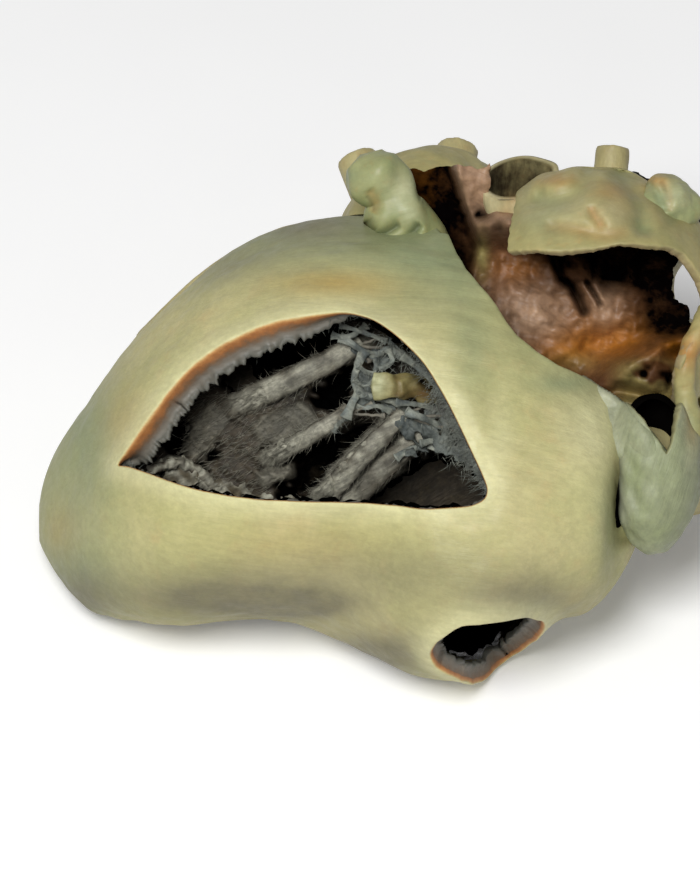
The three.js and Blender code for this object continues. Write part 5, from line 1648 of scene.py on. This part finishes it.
def base_sheet():
    """The fibrous base under the atria: a flat sheet with an oval hole for each valve."""
    n_x, n_q, n_p = (BASE_NORMAL @ axis for axis in AXES)

    def on_base(q, p):
        """Points of the sheet's middle."""
        return at((BASE_OFFSET + 1.55 - n_q * q - n_p * p) / n_x, q, p)

    def keep(q, p):
        """Positive within the form, outside the valves and the right atrium's corner."""
        x, beyond = beyond_form(on_base(q, p))
        gap = np.where(x < LAST_X, -beyond, -1) - 1.5 - 8 * step(p, 5, 13)
        holes = [(np.hypot((q - a) / c, (p - b) / d) - 1) * min(c, d) for a, b, c, d in VALVES]
        return np.minimum.reduce([gap, np.maximum(14 - p, 33 - q), *holes])

    uv, faces, _, _ = cut_grid(np.arange(-8, 60, 0.45), np.arange(-32, 44, 0.45), keep)
    points = on_base(uv[:, 0], uv[:, 1])
    return Patch(points + 0.25 * ripple(points, 5, 401)[:, None] * BASE_NORMAL, faces)


MOUTH_OUTLINE = (
    (610, 372), (640, 372), (664, 376), (680, 396), (676, 425), (665, 455), (656, 444), (645, 429),
    (632, 412), (616, 396),
)


def auricle_mouth(points):
    """Distance from the auricle's mouth, negative in it."""
    x, q, p = split(points)
    mouth = spline(seen(*MOUTH_OUTLINE), 60, True)
    return np.where(p > 24.5, outside(x, q, mouth), 9)


ATRIUM_CREASES = (
    ("warm", 0.7, 0.7, 1.0, ((588, 208), (593, 218), (602, 230))),
    ("green", 0.6, 1.6, 1.8, ((612, 166), (626, 186), (640, 210), (642, 240))),
    ("green", 0.5, 1.5, 2.0, ((528, 196), (548, 200), (570, 196), (584, 180), (590, 164))),
    ("warm", 0.4, 1.0, 0.8, ((540, 226), (570, 230), (600, 236), (630, 232))),
    ("green", 0.5, 1.4, 1.2, ((648, 186), (662, 204), (676, 226))),
)
ATRIUM_DABS = (
    ("warm", 560, 182, 22, 7, 0.45), ("warm", 614, 192, 24, 9, 0.4), ("pale", 540, 214, 26, 18, 0.4),
    ("warm", 684, 340, 14, 14, 1.0), ("green", 545, 224, 26, 20, 0.5), ("pale", 612, 216, 18, 14, 0.5),
    ("pale", 570, 208, 26, 14, 0.4), ("green", 640, 226, 40, 24, 0.5), ("warm", 640, 214, 30, 22, 0.4),
    ("green", 684, 400, 12, 46, 0.5),
)
LIMB_WAY = ((693, 446), (688, 418), (683, 394), (683, 371), (689, 348), (699, 330), (708, 314))
LIMB_DABS = (("green", 688, 420, 20, 30, 0.6), ("warm", 685, 352, 20, 18, 0.8))


def right_atrium_patch():
    """The outer wall: a lumpy ellipsoid, open at its window, with creases and the limb beside the auricle."""
    shell = blob(RIGHT_ATRIUM, atrium_shell_keep, ((17, 0.45, 151), (6, 0.16, 152)), 130, 230,
                 rim=lambda edge: thin_edge(edge, in_mm("atrial_wall"), 0.1, 153))
    crease(shell, *ATRIUM_CREASES, near=22)
    paint(shell, *ATRIUM_DABS, near=20)
    # The limb of the wall that runs down beside the auricle's mouth
    x, q = seen(*LIMB_WAY).T
    limb = tube(at(x, q, np.array([32.6, 32.0, 31.4, 32.0, 32.4, 31.6, 29.5])),
                lambda t: 1.7 + 0.2 * np.cos(6 * t), 30, 90, rough=0.12,
                size=3, seed=155)
    shell.add(paint(limb, *LIMB_DABS))
    return shell


# The darkening creases are painted shade in the fold's grooves
FOLD_CREASES = (
    ("green", 0.8, 0.8, 0.9, ((368, 236), (384, 242), (402, 248))),
    ("green", 0.7, 0.7, 0.8, ((374, 236), (388, 232), (400, 224))),
    ("green", 0.7, 0.8, 0.9, ((404, 246), (412, 234), (420, 224))),
    ("dark", 0.35, 0.3, 0.3, ((374, 237), (388, 233), (400, 225))),
    ("dark", 0.45, 0.4, 0.4, ((403, 248), (412, 235), (421, 224))),
    ("dark", 0.3, 0.35, 0.2, ((366, 196), (372, 204), (374, 212))),
    ("dark", 0.9, 0.9, 1.6, ((362, 222), (366, 230), (372, 236))),
    ("warm", 0.3, 0.7, 0.5, ((368, 190), (376, 204), (372, 214))),
)
FOLD_DABS = (
    ("pale", 410, 216, 12, 10, 0.5), ("green", 350, 176, 14, 8, 0.5), ("pale", 402, 190, 18, 16, 0.7),
)


def fold_patch():
    """A lobe of the atrial wall whose sides follow the photograph, from the ventricles upwards."""
    q = np.array([42.5, 45, 48, 51, 52.5, 54.4, 56, 58, 59.6])
    x = np.array([5.2, 4.6, 3.4, 2.1, 1.5, 0.9, -0.2, -2.0, -3.0])
    p = np.array([15.5, 16.5, 18, 19.4, 20, 20.4, 20.6, 20.6, 20.4])
    half = np.array([5.6, 5.8, 5.7, 5.2, 4.8, 4.0, 4.4, 4.3, 3.3])
    along = np.linspace(0, 1, len(q))
    patch = tube(at(x, q, p), lambda t: spline(np.stack([along, half], 1), len(t))[:, 1], 110, 120,
                 flatten=0.85, rough=0.35, size=6, seed=201)
    crease(patch, *FOLD_CREASES)
    return paint(patch, *FOLD_DABS)


EAR = ((39.3, 14.4, 31.8), (7.1, 12.4, 7.6))


SHOULDER_OUTLINE = (
    (580, 376), (600, 387), (616, 397), (631, 410), (646, 427), (658, 442), (667, 456), (659, 468),
    (640, 472), (624, 464), (612, 456), (600, 446), (586, 428), (580, 402),
)
SHOULDER_HIDDEN = (
    (667, 456), (659, 468), (640, 472), (624, 464), (612, 456), (600, 446), (586, 428), (580, 402),
    (580, 376),
)
SHOULDER_DABS = (("pale", 598, 408, 22, 34, 0.35),)


def shoulder_patch():
    """The pale wall from the ventricles' edge on to the auricle: the two heights blended, the edge round."""
    loop = spline(seen(*SHOULDER_OUTLINE), 100, True)
    low, high = loop.min(0) - 1, loop.max(0) + 1
    uv, faces, _, _ = cut_grid(np.arange(low[0], high[0], 0.25), np.arange(low[1], high[1], 0.25),
                               lambda x, q: -outside(x, q, loop))
    x, q = uv.T
    near = np.minimum(x, 32.5)
    angle = place_on_form(near, q, high=190)
    skin = split(round_form(near, angle, outer_radius(near, angle)))[2]
    (cx, cq, cp), (hx, hq, hp) = EAR
    ear = cp + hp * np.sqrt(np.clip(1 - ((x - cx) / hx) ** 2 - ((q - cq) / hq) ** 2, 0.02, 1))
    px, _ = in_photo(x, q)
    share = step(px, 592, 634)
    inside = np.clip(-outside(x, q, loop) / 1.2, 0, 1)
    sunk, _ = beside(x, q, seen(*SHOULDER_HIDDEN))
    p = np.maximum((1 - share) * skin + share * ear, ear) + 0.45 - 1.3 * (1 - step(sunk, 0, 5))
    p = p - 1.2 * (1 - np.sqrt(np.clip(1 - (1 - inside) ** 2, 0, 1)))
    patch = Patch(at(x, q, p), [f[::-1] for f in faces], {"green": 0.3 * step(px, 606, 640)})
    return paint(patch, *SHOULDER_DABS)


def build_atria():
    """The atria's walls and the right one's floor."""
    piece("atrium_wall", right_atrium_patch(), "atrium", ("right_atrium",))
    floor = piece("atrium_floor", bowl_patch(), "atrium_inside",
                  ("interatrial_septum", "intervenous_ridge"))
    finish_shell(floor, in_mm("atrial_floor"), -1)
    left = blob(LEFT_ATRIUM, lambda points: np.minimum(clear_of_ventricles(points), 12.2 - split(points)[2]),
                ((16, 0.6, 171), (5, 0.15, 172)), 100, 160)
    piece("left_atrium_wall", left, "atrium", ("left_atrium",))


EAR_CREASES = (
    ("green", 0.3, 1.6, 0.5, ((640, 440), (636, 480), (640, 520))),
    ("pale", 0.4, 1.0, 0.2, ((620, 450), (616, 490), (626, 530))),
)
# The darkening dab is painted shade in the crease beside the ventricles
EAR_DABS = (
    ("green", 632, 425, 18, 26, 0.3), ("green", 664, 480, 22, 60, 0.7), ("warm", 690, 420, 8, 30, 0.4),
    ("dark", 613, 495, 5, 44, 0.9), ("green", 640, 530, 34, 18, 0.7), ("green", 628, 470, 12, 26, 0.6),
)


def build_auricles():
    """The right auricle with its open mouth, painted in shade inside, its shoulder, and the left auricle."""
    ear = blob(EAR, lambda points: np.minimum(auricle_mouth(points), clear_of_ventricles(points, -6.5)),
               ((10, 0.35, 161), (4, 0.12, 162)), 130, 200,
               rim=lambda edge: tuple(rows[:6] for rows in thin_edge(edge, in_mm("auricle_wall"), 0.05, 163)))
    crease(ear, *EAR_CREASES, near=26)
    paint(ear, *EAR_DABS)
    # Painted shade on the inner half of the mouth's rim
    ear.tones["dark"] = ear.tones["dark"] + 1.2 * step(ear.tones["cut"], 0.7, 1.0)
    # An inner shell painted in full shade fills the depth of the mouth
    deep = blob(((39.3, 14.4, 32.6), (5.9, 11.0, 5.0)), lambda points: 34.5 - split(points)[2],
                ((6, 0.15, 164),), 60, 90)
    deep.faces = [f[::-1] for f in deep.faces]
    deep.tones["dark"] = np.full(len(deep.points), 1.0)
    piece("auricle_ear", ear.add(deep), "auricle", ("right_auricle",))
    finish_shell(piece("auricle_shoulder", shoulder_patch(), "auricle"), 1.0, -1)
    left = blob(LEFT_AURICLE, lambda points: clear_of_ventricles(points, -0.6),
                ((8, 0.4, 181), (3, 0.15, 182)), 70, 110)
    piece("left_auricle_ear", left, "auricle", ("left_auricle",))


LOBULE_CREASES = (
    ("green", 0.6, 0.7, 0.6, ((644, 182), (656, 196), (664, 214))),
    ("warm", 0.3, 0.6, 0.4, ((660, 180), (668, 196), (668, 214))),
)
LOBULE_DABS = (
    ("warm", 652, 182, 18, 9, 0.6), ("green", 636, 186, 10, 8, 0.4), ("pale", 672, 196, 18, 16, 0.5),
)


def build_fat():
    """The fat lobe on the right atrium and the fold beside it."""
    lobule = blob(((41.4, 52.4, 25.1), (4.9, 4.8, 4.6)), None, ((6, 0.45, 191), (2, 0.06, 192)), 80, 120)
    crease(lobule, *LOBULE_CREASES, near=24)
    paint(lobule, *LOBULE_DABS)
    piece("fat_lobe", lobule, "fat", ("fat_lobule",))
    piece("fold_lobe", fold_patch(), "fat", ("atrial_fold",))


VEIN_DABS = (("warm", 512, 200, 10, 8, 0.6), ("pale", 484, 190, 16, 30, 0.8), ("warm", 505, 215, 8, 7, 0.7))


def caval_stub():
    """The caudal vein's cut end: a tube with a wall and a rounded rim, slanted, shorter on its near side."""
    start, end = at(20.9, 50.8, 19.7), at(19.6, 57.0, 20.2)
    radius, wall = in_mm("vein_radius"), in_mm("vein_wall")
    slant = math.tan(bpy.context.scene.heart_sizes.vein_slant)
    along = np.concatenate([np.linspace(0, 1, 30), [1.015, 1.0], np.linspace(1, 0, 30)])
    size = np.concatenate([np.full(30, radius), [radius - 0.5 * wall, radius - wall],
                           np.full(30, radius - wall)])
    direction = (end - start) / np.linalg.norm(end - start)
    second = np.cross(direction, P_AXIS)
    second /= np.linalg.norm(second)
    first = np.cross(second, direction)
    turn = np.linspace(0, 2 * math.pi, 90, endpoint=False)
    out = np.cos(turn)[:, None] * first + np.sin(turn)[:, None] * second
    middle = start + along[:, None] * (end - start)
    points = middle[:, None] + out * size[:, None, None]
    points = points - direction * (slant * size[:, None] * np.cos(turn) * along[:, None] ** 3)[..., None]
    points = points + out * 0.25 * ripple(middle[:, None] + out * radius, 7, 211)[..., None]
    faces = grid_faces(len(along), len(turn), True).reshape(-1, 4).tolist()
    last, n = (len(along) - 1) * len(turn), len(turn)
    faces += [[last + j, last + (j + 1) % n, (j + 1) % n, j] for j in range(n)]
    inner = np.repeat(np.concatenate([np.zeros(31), np.ones(31)]), n)
    # Painted shade inside the tube
    patch = Patch(points.reshape(-1, 3), faces, {"dark": 0.8 * inner, "pale": 0.3 * (1 - inner)})
    return paint(patch, *VEIN_DABS)


def finish_solids():
    """Smooths the facets of the carried-over solids and gives them their materials."""
    table = {
        "vessel": ("aorta", "pulmonary_trunk", "artery", "vena_cava", "azygos", "pulmonary_vein",
                   "ligamentum", "cardiac_vein", "subsinuosal"),
        "cusp": ("_cusp", "base_plate"),
        "inside": ("papillary",),
        "chord": ("chords",),
    }
    for name, obj in frame["nodes"].items():
        if obj.hide_render:
            continue
        thin = "cusp" in name or "chords" in name
        key = next((k for k, words in table.items() if any(w in name for w in words)), "atrium")
        obj.data.materials.clear()
        obj.data.materials.append(material(key))
        even = obj.modifiers.new("even", "REMESH")
        even.mode = "VOXEL"
        even.voxel_size = (0.25 if thin else 0.4) * MM
        even.use_smooth_shade = True
        smooth = obj.modifiers.new("smooth", "SMOOTH")
        smooth.factor = 0.5
        smooth.iterations = 4 if thin else 14


# The stage
KEY_PLACE = (-0.16, -0.6, 0.8)
KEY_AIM = (0, 20, 10)  # x, q and p in the heart's own axes
CAMERA_PLACE = (-5.0, 19.34, 2515)  # the same, far along p


def build_stage():
    """Makes the background, the floor, the lamp and the camera."""
    scene = bpy.context.scene
    stage = scene.heart_stage
    world_nodes = bpy.data.worlds.new("studio")
    scene.world = world_nodes
    world_nodes.use_nodes = True
    tree = world_nodes.node_tree
    tree.nodes.clear()
    path = tree.nodes.new("ShaderNodeLightPath")
    mix = tree.nodes.new("ShaderNodeMixShader")
    for socket, strength in zip(mix.inputs[1:], (stage.fill, stage.background)):
        ground = tree.nodes.new("ShaderNodeBackground")
        ground.inputs["Color"].default_value = (1, 1, 1, 1)
        ground.inputs["Strength"].default_value = strength
        tree.links.new(ground.outputs[0], socket)
    out = tree.nodes.new("ShaderNodeOutputWorld")
    seen_by = path.outputs["Is Camera Ray"]
    for ray_kind in ("Is Glossy Ray", "Is Transmission Ray"):
        either = tree.nodes.new("ShaderNodeMath")
        either.operation = "MAXIMUM"
        tree.links.new(seen_by, either.inputs[0])
        tree.links.new(path.outputs[ray_kind], either.inputs[1])
        seen_by = either.outputs[0]
    tree.links.new(seen_by, mix.inputs["Fac"])
    tree.links.new(mix.outputs[0], out.inputs["Surface"])

    mesh = bpy.data.meshes.new("floor")
    mesh.from_pydata([(-4, -4, 0), (4, -4, 0), (4, 4, 0), (-4, 4, 0)], [], [(0, 1, 2, 3)])
    floor = bpy.data.objects.new("floor", mesh)
    scene.collection.objects.link(floor)
    n = Nodes("paper")
    low, high = ((stage.floor_shade + d,) * 3 + (1,) for d in (-0.008, 0.008))
    n.link(n.mix(n.fit(n.noise(40, 2), 0.3, 0.7), low, high), n.shader.inputs["Base Color"])
    n.shader.inputs["Roughness"].default_value = 0.95
    n.shader.inputs["Specular IOR Level"].default_value = 0.0
    # Seen directly, the floor is a little brighter, so that it meets the white background; its shadows stay
    glow = n.make("ShaderNodeEmission")
    directly = n.make("ShaderNodeLightPath").outputs["Is Camera Ray"]
    n.link(n.math("MULTIPLY", directly, stage.floor_glow), glow.inputs["Strength"])
    both = n.make("ShaderNodeAddShader")
    n.link(n.shader.outputs["BSDF"], both.inputs[0])
    n.link(glow.outputs["Emission"], both.inputs[1])
    n.link(both.outputs[0], n.tree.nodes["Material Output"].inputs["Surface"])
    floor.data.materials.append(n.material)

    light = bpy.data.lights.new("key", "AREA")
    light.shape = "DISK"
    light.size = stage.key_size
    light.energy = stage.key_power
    lamp = bpy.data.objects.new("key", light)
    scene.collection.objects.link(lamp)
    lamp.location = KEY_PLACE
    aim = world(at(*KEY_AIM)) - np.array(KEY_PLACE)
    lamp.rotation_euler = Vector(aim.tolist()).to_track_quat("-Z", "Y").to_euler()

    camera = bpy.data.cameras.new("camera")
    camera.lens = stage.focal_length
    camera.sensor_width = 36
    camera.clip_end = 20
    seat = bpy.data.objects.new("camera", camera)
    scene.collection.objects.link(seat)
    turn = np.eye(4)
    turn[:3] = np.column_stack([AXES.T, world(at(*CAMERA_PLACE))])
    seat.matrix_world = Matrix(turn.tolist())
    scene.camera = seat
    scene.view_settings.view_transform = "Standard"


# Operators, one for each piece or group of like pieces
class HEART_OT_skin(bpy.types.Operator):
    """Build the ventricles' outer skin, with the cut walls of its two windows"""

    bl_idname = "heart.skin"
    bl_label = "Ventricles' skin"

    def execute(self, context):
        piece("ventricle_skin", ventricle_skin(), "epicardium",
              ("left_ventricle_wall", "right_ventricle_wall"))
        return {"FINISHED"}


class HEART_OT_chamber(bpy.types.Operator):
    """Build the right chamber's lining and the septum"""

    bl_idname = "heart.chamber"
    bl_label = "Right chamber"

    def execute(self, context):
        piece("chamber_lining", lining_patch(), "inside")
        piece("septum", septum_patch(), "inside", ("interventricular_septum",))
        return {"FINISHED"}


class HEART_OT_muscles(bpy.types.Operator):
    """Build the papillary muscles and the band at the chamber's tip"""

    bl_idname = "heart.muscles"
    bl_label = "Papillary muscles"

    def execute(self, context):
        build_muscles()
        return {"FINISHED"}


class HEART_OT_membranes(bpy.types.Operator):
    """Build the torn net, the two cusps and the window's fringe"""

    bl_idname = "heart.membranes"
    bl_label = "Cusps and torn membranes"

    def execute(self, context):
        build_membranes()
        return {"FINISHED"}


class HEART_OT_chords(bpy.types.Operator):
    """Build the fans of tendinous chords"""

    bl_idname = "heart.chords"
    bl_label = "Chords"

    def execute(self, context):
        build_chords()
        return {"FINISHED"}


class HEART_OT_base(bpy.types.Operator):
    """Build the fibrous sheet between the ventricles and the atria"""

    bl_idname = "heart.base"
    bl_label = "Fibrous base"

    def execute(self, context):
        sheet = piece("base_sheet", base_sheet(), "cusp", ("fibrous_base_plate",))
        finish_shell(sheet, in_mm("base"))
        return {"FINISHED"}


class HEART_OT_atria(bpy.types.Operator):
    """Build the walls of both atria and the right one's floor"""

    bl_idname = "heart.atria"
    bl_label = "Atria"

    def execute(self, context):
        build_atria()
        return {"FINISHED"}


class HEART_OT_auricles(bpy.types.Operator):
    """Build the auricles"""

    bl_idname = "heart.auricles"
    bl_label = "Auricles"

    def execute(self, context):
        build_auricles()
        return {"FINISHED"}


class HEART_OT_fat(bpy.types.Operator):
    """Build the fat lobe and the fold beside the atrium"""

    bl_idname = "heart.fat"
    bl_label = "Fat lobes"

    def execute(self, context):
        build_fat()
        return {"FINISHED"}


class HEART_OT_vein(bpy.types.Operator):
    """Build the caudal vein's cut stub"""

    bl_idname = "heart.vein"
    bl_label = "Caudal vein"

    def execute(self, context):
        piece("caval_stub", caval_stub(), "vessel", ("caudal_vena_cava",))
        return {"FINISHED"}


class HEART_OT_solids(bpy.types.Operator):
    """Smooth the carried-over solids and give them their materials"""

    bl_idname = "heart.solids"
    bl_label = "Vessels and inner solids"

    def execute(self, context):
        finish_solids()
        return {"FINISHED"}


class HEART_OT_stage(bpy.types.Operator):
    """Build the floor, the background, the lamp and the camera"""

    bl_idname = "heart.stage"
    bl_label = "Stage"

    def execute(self, context):
        build_stage()
        return {"FINISHED"}


STEPS = (
    HEART_OT_skin, HEART_OT_chamber, HEART_OT_muscles, HEART_OT_membranes, HEART_OT_chords, HEART_OT_base,
    HEART_OT_atria, HEART_OT_auricles, HEART_OT_fat, HEART_OT_vein, HEART_OT_solids, HEART_OT_stage,
)


class VIEW3D_PT_heart(bpy.types.Panel):
    """Sizes, colours and steps of the heart"""

    bl_label = "Preserved dog heart"
    bl_space_type = "VIEW_3D"
    bl_region_type = "UI"
    bl_category = "Heart"

    def draw(self, context):
        for group in (context.scene.heart_sizes, context.scene.heart_colours, context.scene.heart_stage):
            box = self.layout.box()
            for name in group.__annotations__:
                box.prop(group, name)
        for operator in STEPS:
            self.layout.operator(operator.bl_idname)


GROUPS = (HeartSizes, HeartColours, StageSettings)


def register():
    """Registers the classes and hangs the panel's settings on the scene."""
    for kind in (*GROUPS, *STEPS, VIEW3D_PT_heart):
        bpy.utils.register_class(kind)
    bpy.types.Scene.heart_sizes = bpy.props.PointerProperty(type=HeartSizes)
    bpy.types.Scene.heart_colours = bpy.props.PointerProperty(type=HeartColours)
    bpy.types.Scene.heart_stage = bpy.props.PointerProperty(type=StageSettings)


def unregister():
    """Takes the settings and the classes away."""
    del bpy.types.Scene.heart_stage, bpy.types.Scene.heart_colours, bpy.types.Scene.heart_sizes
    for kind in (VIEW3D_PT_heart, *reversed(STEPS), *reversed(GROUPS)):
        bpy.utils.unregister_class(kind)


def main():
    """Builds the pieces in order, then the stage."""
    register()
    bpy.ops.heart.skin()
    bpy.ops.heart.chamber()
    bpy.ops.heart.muscles()
    bpy.ops.heart.membranes()
    bpy.ops.heart.chords()
    bpy.ops.heart.base()
    bpy.ops.heart.atria()
    bpy.ops.heart.auricles()
    bpy.ops.heart.fat()
    bpy.ops.heart.vein()
    bpy.ops.heart.solids()
    bpy.ops.heart.stage()
    bpy.context.view_layer.update()


if __name__ == "__main__":
    main()
